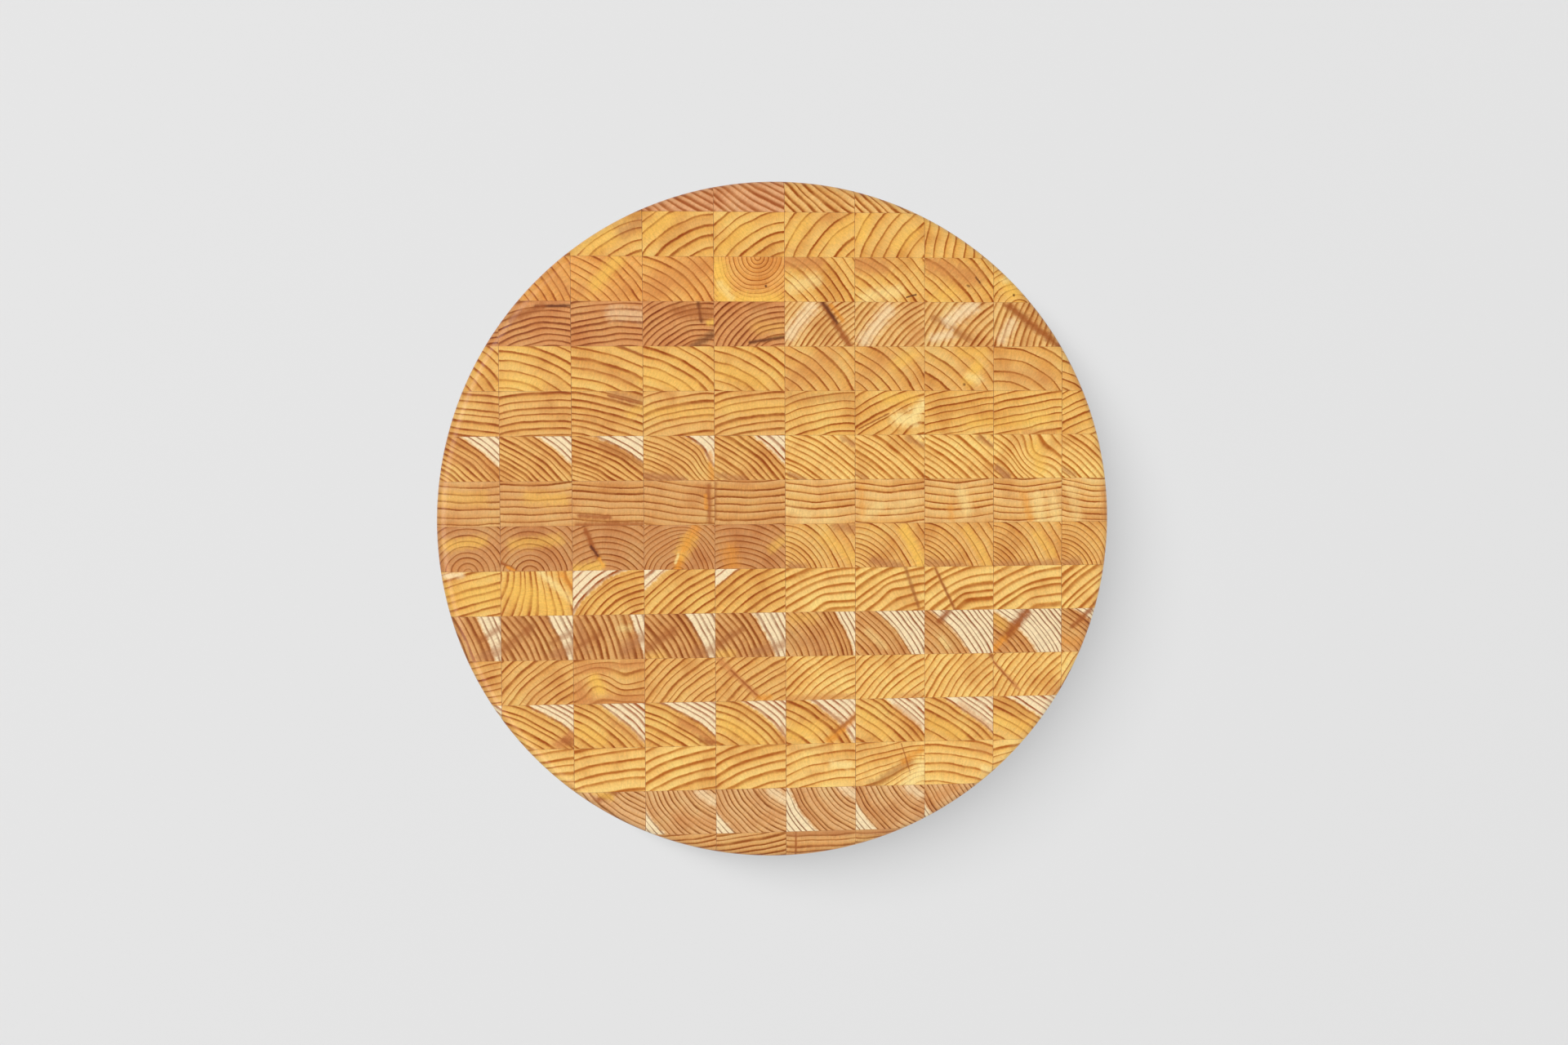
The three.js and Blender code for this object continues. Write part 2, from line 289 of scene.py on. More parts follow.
MARKS: dict[Place, tuple[Mark, ...]] = {
    (1, 2): (Mark(8, 0, 17, 5, 6, 0.5, SMOKE), Mark(-8, -8, 2, -2, 7, 0.6, YELLOW)),
    (1, 3): (Mark(-14, 0, -6, 6, 8, 0.6, YELLOW), Mark(4, 3, 16, 6, 5, 0.4, RED)),
    (1, 4): (Mark(-12, -6, -2, 2, 7, 0.5, YELLOW),),
    (1, 5): (
        Mark(-14, -2, -8, 6, 6, 0.5, YELLOW), Mark(6, -2, 14, 4, 6, 0.5, YELLOW), Mark(2, 8, 10, 10, 5, 0.4, RED),
    ),
    (1, 6): (Mark(-14, 0, -12, 8, 6, 0.6, YELLOW), Mark(4, -4, 12, 2, 6, 0.5, YELLOW)),
    (2, 1): (Mark(6, 2, 16, -6, 7, 0.5, RED),),
    (2, 2): (
        Mark(-4.4, -4.4, 7, 8.4, 6, 0.75, YELLOW), Mark(-14, -10, -10, -6, 6, 0.4, RED),
        Mark(6, -10, 16, 0, 5, 0.3, RED),
    ),
    (2, 3): (Mark(-14, -6, 10, 6, 12, 0.4, RED),),
    (2, 4): (
        Mark(-15, 7, -11, -10, 8, 0.95, YELLOW), Mark(-12, -10, 15, -10, 6.5, 0.9, YELLOW),
        Mark(-14, -2, -8, -9, 3, 0.5, PALE), Mark(9.1, -3, 9.3, -3.2, 0.9, 1, DARK),
    ),
    (2, 5): (Mark(-16, 9, -2, 8, 8, 0.8, RED), Mark(-14, -4, -3, -1, 6, 0.6, PALE)),
    (2, 6): (
        Mark(-16, 9, -4, 7, 8, 0.75, RED), Mark(-12, -8, 4, -5, 6, 0.6, PALE),
        Mark(8.6, -8, 13.4, -6.7, 0.7, 1, DARK),
    ),
    (2, 7): (
        Mark(-14, 8, 8, 1, 9, 0.75, RED), Mark(-12, -10, -4, -6, 5, 0.5, YELLOW),
        Mark(4.3, -2.7, 5, -3.2, 1.1, 0.9, DARK), Mark(8.6, 1.3, 10.6, -1.3, 0.8, 0.9, DARK),
    ),
    (2, 8): (
        Mark(-10, -3, -8, -6, 8, 0.8, YELLOW), Mark(-13, -1, -9, 1, 2.5, 0.6, PALE),
        Mark(-8, -8, -8, -8.2, 0.9, 1, DARK),
    ),
    (3, 1): (Mark(1, 8.2, 17.6, 8.6, 1.3, 0.9, DARK), Mark(-11, 2, 4, 8, 3.6, 0.75, BROWN)),
    (3, 2): (Mark(2, 4, 16, 3, 6, 0.4, CREAM),),
    (3, 3): (
        Mark(8.6, 11, 10.2, 2, 1.6, 0.85, DARK), Mark(6, -10.6, 17, -4, 3.2, 0.7, DARK),
        Mark(-2, 7, 16, 5, 6, 0.6, BROWN), Mark(14, 1, 16.5, 1.5, 2.5, 0.8, YELLOW),
    ),
    (3, 4): (
        Mark(0, -9.4, 17.4, -6.6, 1.5, 0.9, DARK), Mark(2, 8, 8, 10, 4, 0.45, BROWN),
        Mark(4, -2, 15, -2, 6, 0.3, YELLOW),
    ),
    (3, 5): (
        Mark(2, 11, 16.5, -11.3, 3.2, 0.9, BROWN), Mark(2.5, 10.9, 10, 0, 1.5, 0.9, DARK),
        Mark(7, 9, 13, 1, 1.6, 0.8, ORANGE), Mark(-14, -6, -3, 8, 6, 0.7, CREAM),
    ),
    (3, 6): (Mark(-12, -8, 0, 7, 6, 0.7, CREAM), Mark(12, -10, 17, -4, 6, 0.5, RED)),
    (3, 7): (
        Mark(-14, 2.5, 4, -8.4, 3, 0.6, BROWN), Mark(-6, 1, 6, 8, 6, 0.8, CREAM),
        Mark(-14, -8, -6, -6, 4, 0.7, CREAM),
    ),
    (3, 8): (Mark(-11, 10.9, 16, -9.9, 3.6, 0.9, BROWN), Mark(-14, -6, -9, 2, 5, 0.6, CREAM)),
    (4, 1): (Mark(-16, -6, 2, -8, 7, 0.4, YELLOW),),
    (4, 2): (Mark(5, 10.8, 17.7, 5.6, 1.1, 0.9, BROWN), Mark(-16, 2, 10, -6, 6, 0.4, RED)),
    (4, 3): (Mark(-14, -2, 6, -8, 7, 0.45, YELLOW),),
    (4, 4): (Mark(-14, -2, 6, -8, 7, 0.45, YELLOW),),
    (4, 5): (Mark(-14, -6, 4, 6, 10, 0.3, RED),),
    (4, 6): (Mark(-14, -6, 0, 6, 8, 0.3, RED), Mark(4, 2, 12, 6, 5, 0.5, YELLOW)),
    (4, 7): (
        Mark(6, -6, 10, 1, 5.5, 0.8, YELLOW), Mark(6, -4, 11, -6, 3.5, 0.6, PALE), Mark(2, 8, 12, 8, 6, 0.5, YELLOW),
        Mark(3.3, -8.1, 3.4, -8.3, 1.1, 0.95, DARK),
    ),
    (4, 8): (Mark(-10, -2, 8, -4, 7, 0.35, RED),),
    (5, 2): (
        Mark(2, 8.4, 17, 4, 5, 0.6, SMOKE), Mark(10, -1, 16, 2, 4, 0.5, YELLOW),
        Mark(-1, 8, 17, 3.4, 0.9, 0.8, BROWN),
    ),
    (5, 3): (Mark(-16, 2, 16, 2, 6, 0.4, YELLOW),),
    (5, 4): (Mark(-16, 2, 16, 2, 6, 0.4, YELLOW),),
    (5, 5): (Mark(-16, 8, 16, 8, 5, 0.35, SMOKE),),
    (5, 6): (
        Mark(4, -2, 12, -3, 6, 0.9, PALE), Mark(13, 1, 16.9, 5, 5, 0.95, PALE), Mark(-2, 8, 12, 8, 4, 0.6, YELLOW),
        Mark(-16, -7, -1, 0.5, 0.8, 0.9, BROWN),
    ),
    (5, 7): (Mark(6, -6, 16, -5, 5, 0.5, YELLOW),),
    (5, 8): (Mark(-14, -6, 10, -3, 5, 0.4, YELLOW), Mark(0, -10.5, 14, -10.5, 3, 0.5, RED)),
    (6, 0): (Mark(-6, 0, 12, -4, 5, 0.4, RED),),
    (6, 2): (Mark(-4, 6, 16, -4, 2.6, 0.5, BROWN),),
    (6, 3): (Mark(15.5, 2, 16.6, -11, 2.6, 0.6, ORANGE), Mark(-17, -9, 2, -11, 3.5, 0.75, SMOKE)),
    (6, 4): (Mark(-17, -9, -4, -11, 3, 0.6, SMOKE),),
    (6, 5): (Mark(10, 10, 17.9, 6, 2.6, 0.6, SMOKE), Mark(-17, -8, -9, -11, 2.4, 0.7, SMOKE)),
    (6, 6): (
        Mark(10, 9.6, 17.9, 5, 2.6, 0.6, SMOKE), Mark(15, 10.5, 17, 9.5, 2.4, 0.6, PALE),
        Mark(-17, -8, -11, -11, 2, 0.5, SMOKE),
    ),
    (6, 7): (Mark(11, 10.6, 17.9, 6, 2.6, 0.6, SMOKE),),
    (6, 8): (Mark(2, 4, 6, -7, 6, 0.65, YELLOW), Mark(-17, -6, -11, -11, 3, 0.8, SMOKE)),
    (6, 9): (Mark(-17, -8, -12, -11, 2.6, 0.6, SMOKE),),
    (7, 0): (Mark(-8, 2, 10, 2, 6, 0.4, YELLOW),),
    (7, 1): (Mark(-2, 4, 14, 3, 6, 0.5, YELLOW),),
    (7, 2): (Mark(-16, -9.8, 16, -9.5, 2.6, 0.8, BROWN), Mark(-15, -5, 0, -6, 2.2, 0.8, BROWN)),
    (7, 3): (Mark(14.2, 8.3, 14.6, -10, 2.2, 0.75, BROWN), Mark(12.4, 3, 12.8, -3, 1.6, 0.7, ORANGE)),
    (7, 4): (Mark(-16.5, 9, -16.6, -10, 1.5, 0.5, BROWN),),
    (7, 5): (Mark(-16, -2, -8, -6, 6, 0.4, PALE),),
    (7, 6): (
        Mark(-14, -8, -6, -4, 5, 0.5, PALE), Mark(2, -6, 10, -2, 6, 0.35, PALE),
        Mark(-16, 6, -15, -8, 3, 0.4, ORANGE),
    ),
    (7, 7): (Mark(0, 4, 3, -6, 5, 0.6, PALE), Mark(-6, -4, -5, -10, 3, 0.5, ORANGE)),
    (7, 8): (
        Mark(4, 4, 6, -9, 5, 0.5, PALE), Mark(-3, 4, 0.5, -9, 3.2, 0.6, ORANGE), Mark(12, 2, 14, -9, 5, 0.5, PALE),
    ),
    (7, 9): (Mark(-13, 6, -10, -8, 5, 0.4, PALE), Mark(4, 6, 5, -9, 3, 0.5, RED)),
    (8, 0): (Mark(-9, 2, 8, 4, 5, 0.6, YELLOW), Mark(-12, -9, 10, -9, 5, 0.35, RED)),
    (8, 1): (
        Mark(-17.4, -5.9, -11, -9.4, 1.5, 0.95, BROWN), Mark(-14, -8.4, -10.5, -10, 1.3, 0.9, ORANGE),
        Mark(-11, 3, 11, 5, 5, 0.5, YELLOW),
    ),
    (8, 2): (
        Mark(-11, 10, -5, -4, 2.4, 0.9, BROWN), Mark(-8.4, 2, -4.8, -3, 1.2, 0.95, DARK),
        Mark(-4.4, -4, -2.4, -8, 1.4, 0.95, ORANGE), Mark(-16, -10, -5, -8, 5, 0.75, YELLOW),
    ),
    (8, 3): (
        Mark(-1.5, -11.6, 0, -5, 3.4, 0.95, ORANGE), Mark(1, -3, 5, 4, 6, 0.6, YELLOW),
        Mark(2, -1, 7.5, 9, 4.2, 0.65, ORANGE), Mark(-2.5, -8, -1, -4, 1.2, 0.8, PALE),
    ),
    (8, 4): (Mark(-9, -3, -8, -10.9, 7, 0.55, ORANGE), Mark(12, -2, 17, 2, 4, 0.5, YELLOW)),
    (8, 5): (
        Mark(2, 4, 14, -6, 5, 0.5, YELLOW), Mark(-16, -10, -10, -11, 3.5, 0.7, SMOKE),
        Mark(6, 10, 17, 8, 4, 0.6, SMOKE),
    ),
    (8, 6): (Mark(6, 8, 14, -9, 5, 0.85, YELLOW), Mark(-10, -8, 4, -11, 4, 0.7, SMOKE)),
    (8, 7): (Mark(4, 8, 14, -8, 4, 0.5, YELLOW), Mark(-17, -8, 2, -11, 4, 0.6, SMOKE)),
    (8, 8): (Mark(6, 6, 14, -4, 4, 0.5, YELLOW), Mark(-17, -10, 16, -9, 4, 0.6, SMOKE)),
    (8, 9): (Mark(-17, -10, -10, -9, 4, 0.7, SMOKE),),
    (9, 0): (Mark(-10, 10.4, -2, 10.8, 2.6, 0.8, CREAM), Mark(-12, 0, 16, 2, 11, 0.5, YELLOW)),
    (9, 1): (
        Mark(2, 10.8, 17.3, -4, 3, 0.8, PALE), Mark(12, 10, 17.5, 4, 3, 0.7, ORANGE),
        Mark(-10, 2, 9, -7, 12, 0.75, YELLOW),
    ),
    (9, 6): (Mark(9, 10.3, 16.1, -10.4, 1.6, 0.7, BROWN),),
    (9, 7): (Mark(-12.1, 10.3, -2.1, -10.4, 1.3, 0.9, BROWN),),
    (10, 0): (Mark(7, -1, 17, 5, 2.6, 0.6, BROWN), Mark(9, -9, 17, -6, 5.5, 0.65, SMOKE)),
    (10, 1): (
        Mark(-17, -6, -3, 5, 4, 0.6, BROWN), Mark(-9, 9, -4, 1, 3, 0.5, BROWN), Mark(7, -3, 17, 2, 2.6, 0.55, BROWN),
        Mark(9, -9, 17, -6, 5.5, 0.65, SMOKE),
    ),
    (10, 2): (
        Mark(-14, 8, -10, -6, 4, 0.4, SMOKE), Mark(9, -6, 17, 0, 6, 0.65, SMOKE),
        Mark(-16, -5, -4, 2, 2.4, 0.5, BROWN), Mark(7, 5, 11, 5, 3, 0.5, PALE),
    ),
    (10, 3): (
        Mark(-17, -4.5, -4, 4, 3.6, 0.6, BROWN), Mark(-16, -10, -10, -9, 4.5, 0.45, YELLOW),
        Mark(8, -7, 17, -6, 5, 0.65, SMOKE),
    ),
    (10, 4): (
        Mark(-17, -5.5, -4, 3, 3.6, 0.65, BROWN), Mark(-16, -10, -9, -9, 4.5, 0.45, YELLOW),
        Mark(4, -8, 17, -5, 4, 0.65, SMOKE),
    ),
    (10, 5): (Mark(-16, -2, 2, -8, 7, 0.35, SMOKE), Mark(-14, 8, -4, 8, 5, 0.35, YELLOW)),
    (10, 6): (Mark(-12, 2, -4, -6, 3, 0.4, PALE),),
    (10, 7): (Mark(-9, 5, -4, 11, 2.8, 0.9, BROWN), Mark(-8, -4, -5, -8, 2.4, 0.5, PALE)),
    (10, 8): (
        Mark(-17, -8, -5, 4, 3, 0.8, ORANGE), Mark(-9, 0, 0, 11, 4.6, 0.95, BROWN),
        Mark(-16, 8, -12, 4, 4, 0.5, YELLOW),
    ),
    (10, 9): (Mark(-12, 1, -2, 10, 2.2, 0.85, BROWN), Mark(-17, -6, -6, -8, 5, 0.4, ORANGE)),
    (11, 1): (Mark(-4, -8, 2, -6, 6, 0.35, RED),),
    (11, 2): (
        Mark(-8, 3, -5, -3, 5, 0.8, YELLOW), Mark(-16, 8, 16, 10, 5, 0.7, RED), Mark(-9, -10, 16, -8, 6, 0.7, RED),
        Mark(-16, 0, -14, -8, 5, 0.7, RED),
    ),
    (11, 4): (
        Mark(-16.5, 10, 3, -9, 2.8, 0.8, RED), Mark(-10, 4, 4.6, -10.3, 0.9, 0.85, BROWN),
        Mark(4, -10.5, 9, -10, 3, 0.7, ORANGE),
    ),
    (11, 5): (Mark(-17, -10.5, 16, -10, 2.8, 0.6, RED),),
    (11, 6): (Mark(4, -10, 16, -9, 3, 0.5, RED),),
    (11, 7): (Mark(14, 10.4, 17.7, 6, 1.8, 0.8, BROWN),),
    (11, 8): (
        Mark(-17.7, 8, -3, -8, 1.8, 0.85, RED), Mark(-17.7, 8, -6, -5, 0.8, 0.85, BROWN),
        Mark(12, -10, 17, -9, 3, 0.5, RED),
    ),
    (12, 1): (Mark(10, -8, 17, -4, 5, 0.9, RED), Mark(13, -6, 17, -8, 3, 0.75, BROWN)),
    (12, 2): (Mark(-14, -4, -6, -8, 6, 0.5, YELLOW), Mark(0, 2, 14, -8, 4, 0.5, RED)),
    (12, 3): (Mark(2, 2, 17, -7, 4, 0.7, RED), Mark(12, -7, 17, -9, 3, 0.75, BROWN)),
    (12, 4): (Mark(-14, 0, 2, -8, 7, 0.55, YELLOW), Mark(14, -3, 17, -10, 3, 0.6, RED)),
    (12, 5): (
        Mark(3, -10.5, 17, 2, 3.4, 0.85, ORANGE), Mark(6, -6, 17, 2, 2, 0.7, BROWN),
        Mark(-15, -6, -4, -4, 7, 0.5, YELLOW), Mark(2, 2, 8, 0, 4, 0.5, RED),
    ),
    (12, 6): (Mark(-14, 2, -4, -8, 6, 0.4, YELLOW), Mark(2, 6, 14, -4, 3, 0.5, RED)),
    (12, 7): (Mark(-14, -2, 0, -9, 6, 0.5, YELLOW), Mark(0, 7, 16, -5, 3, 0.5, RED)),
    (12, 8): (Mark(-15, -2, 0, -6, 6, 0.5, YELLOW),),
    (13, 1): (Mark(6, -10, 17, -8, 5, 0.5, RED),),
    (13, 5): (Mark(6, 0, 14, -1, 3.6, 0.7, PALE), Mark(-14, 8, 4, 9, 4, 0.4, RED)),
    (13, 6): (
        Mark(-8, -11, 11, 1, 4.2, 0.6, BROWN), Mark(8, 1, 17, 7, 3, 0.7, ORANGE),
        Mark(7, 10.3, 11.5, -4.7, 0.6, 0.8, BROWN), Mark(10, -11, 18, -3, 7, 0.9, PALE),
    ),
    (13, 7): (Mark(12, -2.5, 14, -3.3, 3.6, 0.7, PALE), Mark(6, 9, 16, 6, 4, 0.4, RED)),
    (14, 2): (Mark(-6, 7, 3, 11, 3.4, 0.85, BROWN), Mark(-8, 11, 0, 8, 3, 0.6, YELLOW)),
    (14, 3): (Mark(10, 10, 17, 5, 4.5, 0.7, CREAM), Mark(-2, -2, 14, -6, 6, 0.4, RED)),
    (14, 4): (Mark(10, 10, 17, 5, 4.5, 0.7, CREAM), Mark(0, -6, 14, -2, 5, 0.35, RED)),
    (14, 5): (Mark(10, 10, 17, 5, 4.5, 0.75, CREAM), Mark(-6, 6, 4, -6, 4, 0.3, RED)),
    (14, 6): (Mark(11, 10, 17, 6, 4, 0.7, CREAM),),
    (14, 7): (Mark(-10, 4, -2, 9, 5, 0.5, RED),),
    (15, 5): (Mark(-12.6, 11, -12.6, -1, 0.9, 0.85, BROWN), Mark(-17, 10, 17, 10, 3, 0.6, SMOKE)),
    (15, 6): (Mark(-17, 10, 6, 10, 3, 0.6, SMOKE),),
}

# Sapwood that begins this far out is never reached
NO_SAP = 1000.0

# The board was glued up from two panels: one gave the strips up to this column, the other gave the rest
LAST_LEFT_COLUMN = 4

# Random seeds kept for the blocks of one row
ROW_SEEDS = 16


# Shapes

@dataclass(frozen=True)
class Cell:
    """A rectangle of the slab between four saw cuts, in millimetres: left, right, front and back."""

    left: float
    right: float
    front: float
    back: float

    def corners(self) -> np.ndarray:
        """Gives the four corners, anticlockwise from the front left one."""
        return np.array([
            (self.left, self.front), (self.right, self.front), (self.right, self.back), (self.left, self.back),
        ])

    def nearest(self) -> np.ndarray:
        """Gives the point of the cell nearest to the board's axis."""
        corners = self.corners()
        return np.clip(0.0, corners[0], corners[2])


@dataclass(frozen=True)
class Slab:
    """The round slab that all pieces are sawn from, in millimetres.

    Attributes:
        radius: Radius of the rim.
        thickness: Height from the underside to the cutting face.
        edge_radius: Radius of both rounded edges.
        edge_steps: Facets over one rounded edge.
        arc_steps: Points on each stretch of a saw cut that lies outside the rim and is drawn back to it.
        face_inset: Share by which the ring of points inside each flat face is drawn in.
        hair: Width left of a corner that tapers to nothing on a rounded edge.
    """

    radius: float
    thickness: float
    edge_radius: float = 5.0
    edge_steps: int = 8
    arc_steps: int = 12
    face_inset: float = 0.03
    hair: float = 0.02

    def rim(self, cell: Cell, recess: float) -> tuple[np.ndarray, np.ndarray]:
        """Follows the rim's section from the underside to the cutting face.

        Over an edge the radius is the flat's radius plus edge radius times sine, and the height is edge radius times
        one minus cosine, for an angle that runs from 0 to a quarter turn. A cell that lies out on the rounded edge
        starts at the angle whose radius reaches it. A cell clear of the edge needs only the two faces.

        Args:
            cell: Rectangle that is sawn out.
            recess: How far the surface lies under the slab's.

        Returns:
            Heights and radii of the sections.
        """
        flat = self.radius - self.edge_radius
        furthest = np.hypot(*cell.corners().T).max()
        reach = (np.hypot(*cell.nearest()) + self.hair - flat) / self.edge_radius
        first = math.asin(min(max(reach, 0.0), 1.0))
        turn = np.linspace(first, math.pi / 2, self.edge_steps + 1)
        if furthest <= flat:
            turn = np.zeros(1)
        rise = np.maximum(self.edge_radius * (1 - np.cos(turn)), recess)
        radii = flat + self.edge_radius * np.sin(turn) - recess
        return np.r_[rise, self.thickness - rise[::-1]], np.r_[radii, radii[::-1]]

    def sections(self, cell: Cell, radii: np.ndarray) -> np.ndarray:
        """Finds the outline of the cell inside circles about the axis.

        Each side is a line from corner to corner. The two roots of its quadratic with the circle split it into a
        stretch before the circle, one inside and one after. Points outside are drawn back to the circle along the
        line from the cell's nearest point, at the root of the quadratic of that line.

        Args:
            cell: Rectangle that is sawn out.
            radii: Radius of the circle of each section.

        Returns:
            Points of each section's outline, anticlockwise, as sections by points by two.
        """
        corners = cell.corners()
        sides = np.roll(corners, -1, axis=0) - corners
        square = (sides**2).sum(axis=1)
        half = (corners * sides).sum(axis=1)
        excess = (corners**2).sum(axis=1) - radii[:, None] ** 2
        root = np.sqrt(np.maximum(half**2 - square * excess, 0.0))
        enter = np.clip((-half - root) / square, 0, 1)[..., None]
        leave = np.clip((-half + root) / square, 0, 1)[..., None]
        steps = np.linspace(0, 1, self.arc_steps, endpoint=False)
        along = np.concatenate([enter * steps, enter, leave + (1 - leave) * steps], axis=2)
        points = corners[:, None] + along[..., None] * sides[:, None]
        anchor = cell.nearest()
        reach = points - anchor
        square = np.maximum((reach**2).sum(axis=-1), TINY)
        half = reach @ anchor
        excess = anchor @ anchor - radii[:, None, None] ** 2
        leaves = (np.sqrt(np.maximum(half**2 - square * excess, 0.0)) - half) / square
        points = anchor + reach * np.minimum(leaves, 1.0)[..., None]
        return points.reshape(len(radii), -1, 2)

    def sawn(self, cell: Cell, recess: float = 0.0) -> Surface:
        """Makes the closed surface of one piece: the outlines of its sections, one above the other.

        The two parameters are the place along the outline and the section. Each face of the slab is closed by a ring
        drawn in towards the outline's middle and one flat face inside it.

        Args:
            cell: Rectangle that is sawn out.
            recess: How far the surface lies under the slab's.

        Returns:
            Points in metres, quadrangles between the sections, and the two closing faces.
        """
        heights, radii = self.rim(cell, recess)
        outlines = self.sections(cell, radii)
        middles = outlines.mean(axis=1, keepdims=True)
        drawn_in = middles + (outlines - middles) * (1 - self.face_inset)
        outlines = np.concatenate([drawn_in[:1], outlines, drawn_in[-1:]])
        heights = np.r_[heights[0], heights, heights[-1]]
        count, length = outlines.shape[:2]
        tall = np.broadcast_to(heights[:, None, None], (count, length, 1))
        points = np.concatenate([outlines, tall], axis=2).reshape(-1, 3) * MM
        index = np.arange(count * length).reshape(count, length)
        beside = np.roll(index, -1, axis=1)
        quads = np.stack([index[:-1], beside[:-1], beside[1:], index[1:]], axis=-1).reshape(-1, 4)
        return points, quads, [index[0, ::-1], index[-1]]


def stand(name: str, data: Union[bpy.types.Mesh, bpy.types.Light, bpy.types.Camera]) -> bpy.types.Object:
    """Puts a mesh, lamp or camera into the scene as an object of the given name."""
    thing = bpy.data.objects.new(name, data)
    bpy.context.scene.collection.objects.link(thing)
    return thing


def piece_from(name: str, surfaces: list[Surface]) -> bpy.types.Object:
    """Puts closed surfaces into one mesh object, merges points that coincide, and keeps the saw cuts sharp.

    The wood throws no coloured light on the pale floor, which stays neutral in the photo.

    Args:
        name: Name of the piece.
        surfaces: Points, quadrangles and closing faces of each surface.

    Returns:
        The new object, at the origin.
    """
    starts = np.cumsum([0] + [len(points) for points, _, _ in surfaces])
    faces: list[list[int]] = []
    for start, (_, quads, ends) in zip(starts, surfaces):
        faces += (quads + start).tolist() + [(end + start).tolist() for end in ends]
    mesh = bpy.data.meshes.new(name)
    mesh.from_pydata(np.concatenate([points for points, _, _ in surfaces]).tolist(), [], faces)
    shape = bmesh.new()
    shape.from_mesh(mesh)
    bmesh.ops.remove_doubles(shape, verts=shape.verts, dist=MERGE)
    bmesh.ops.dissolve_degenerate(shape, edges=shape.edges, dist=MERGE)
    shape.to_mesh(mesh)
    shape.free()
    mesh.shade_smooth()
    mesh.set_sharp_from_angle(angle=SHARP)
    piece = stand(name, mesh)
    piece.visible_diffuse = False
    return piece


# Finishes

class Noise(Enum):
    """Cloudy noises: how many clouds a unit of length holds, and how many finer layers lie on them."""

    WAVER = (0.06, 1.0)
    TREMBLE = (0.8, 1.0)
    FADE = (0.12, 1.0)
    PATCHES = (0.065, 2.0)
    SAP_EDGE = (0.4, 2.0)
    MARK_EDGE = (0.45, 2.0)
    MOTTLE = (0.8, 2.0)
    GRIT = (2.6, 1.0)
    RAYS = (1.0, 1.0)
    THIN_GLUE = (70.0, 2.0)


class Sheet:
    """A node tree, written as formulas of fields."""

    def __init__(self, tree: bpy.types.NodeTree) -> None:
        """Takes over a tree and clears it."""
        self.tree = tree
        tree.nodes.clear()

    def node(self, kind: str, **settings: Union[str, bool, float]) -> bpy.types.Node:
        """Adds a node.

        Args:
            kind: Blender's name of the node.
            **settings: Properties to set on it.

        Returns:
            The new node.
        """
        node = self.tree.nodes.new(kind)
        for key, value in settings.items():
            setattr(node, key, value)
        return node

    def put(self, socket: bpy.types.NodeSocket, value: "Value") -> None:
        """Feeds a socket with a field, or sets it to a plain value."""
        if isinstance(value, Field):
            self.tree.links.new(value.socket, socket)
        else:
            socket.default_value = value

    def field(
        self, node: bpy.types.Node, inputs: dict[Union[int, str], "Value"], output: Union[int, str] = 0
    ) -> "Field":
        """Feeds a node and takes one of its outputs.

        Args:
            node: The node.
            inputs: Values by the name or number of the input.
            output: Name or number of the output.

        Returns:
            The output as a field.
        """
        for key, value in inputs.items():
            self.put(node.inputs[key], value)
        return Field(self, node.outputs[output])

    def show(self, look: "Field", output: str = "ShaderNodeOutputMaterial") -> None:
        """Makes a shader the look of the whole tree."""
        self.put(self.node(output).inputs[0], look)

    def where(self) -> "Field":
        """Reads the point in the object's own space."""
        return self.field(self.node("ShaderNodeTexCoord"), {}, "Object")

    def maths(self, operation: str, *values: "Value") -> "Field":
        """Applies one of the Math node's operations."""
        return self.field(self.node("ShaderNodeMath", operation=operation), dict(enumerate(values)))

    def arrows(self, operation: str, *values: "Value", output: int = 0) -> "Field":
        """Applies one of the Vector Math node's operations; output 1 is a number."""
        return self.field(self.node("ShaderNodeVectorMath", operation=operation), dict(enumerate(values)), output)

    def arrow(self, x: "Value", y: "Value", z: "Value" = 0.0) -> "Field":
        """Joins three numbers to a vector."""
        return self.field(self.node("ShaderNodeCombineXYZ"), {0: x, 1: y, 2: z})

    def own(self, attribute: str) -> "Field":
        """Reads a vector that the piece's mesh carries."""
        return self.field(self.node("ShaderNodeAttribute", attribute_name=attribute), {}, "Vector")

    def held(self, value: "Value", low: float, high: float) -> "Field":
        """Holds a number between two others."""
        return self.maths("MINIMUM", self.maths("MAXIMUM", value, low), high)

    def ramp(self, value: "Value", low: "Value", high: "Value") -> "Field":
        """Rises smoothly from 0 at the low value to 1 at the high one."""
        node = self.node("ShaderNodeMapRange", interpolation_type="SMOOTHSTEP")
        return self.field(node, {"Value": value, "From Min": low, "From Max": high})

    def noise(self, place: "Field", noise: Noise, output: int = 0) -> "Field":
        """Gives a cloudy noise from 0 to 1 at a place; output 1 is three noises as a vector."""
        scale, detail = noise.value
        return self.field(self.node("ShaderNodeTexNoise"), {"Vector": place, "Scale": scale, "Detail": detail}, output)

    def sway(self, place: "Field", noise: Noise) -> "Field":
        """Gives a cloudy noise from minus a half to a half."""
        return self.noise(place, noise) - 0.5

    def line_noise(self, place: "Field", scale: float) -> "Field":
        """Gives a smooth noise from 0 to 1 along a line."""
        node = self.node("ShaderNodeTexNoise", noise_dimensions="1D")
        return self.field(node, {"W": place, "Scale": scale, "Detail": 0.0})

    def chance(self, number: "Field") -> "Field":
        """Gives a number from 0 to 1 that jumps with each whole number."""
        return self.field(self.node("ShaderNodeTexWhiteNoise", noise_dimensions="1D"), {"W": number})

    def mix(self, share: "Value", first: "Value", second: "Value", blend: str = "MIX") -> "Field":
        """Blends a second colour over a first one."""
        node = self.node("ShaderNodeMix", data_type="RGBA", blend_type=blend)
        return self.field(node, {0: share, 6: first, 7: second}, 2)


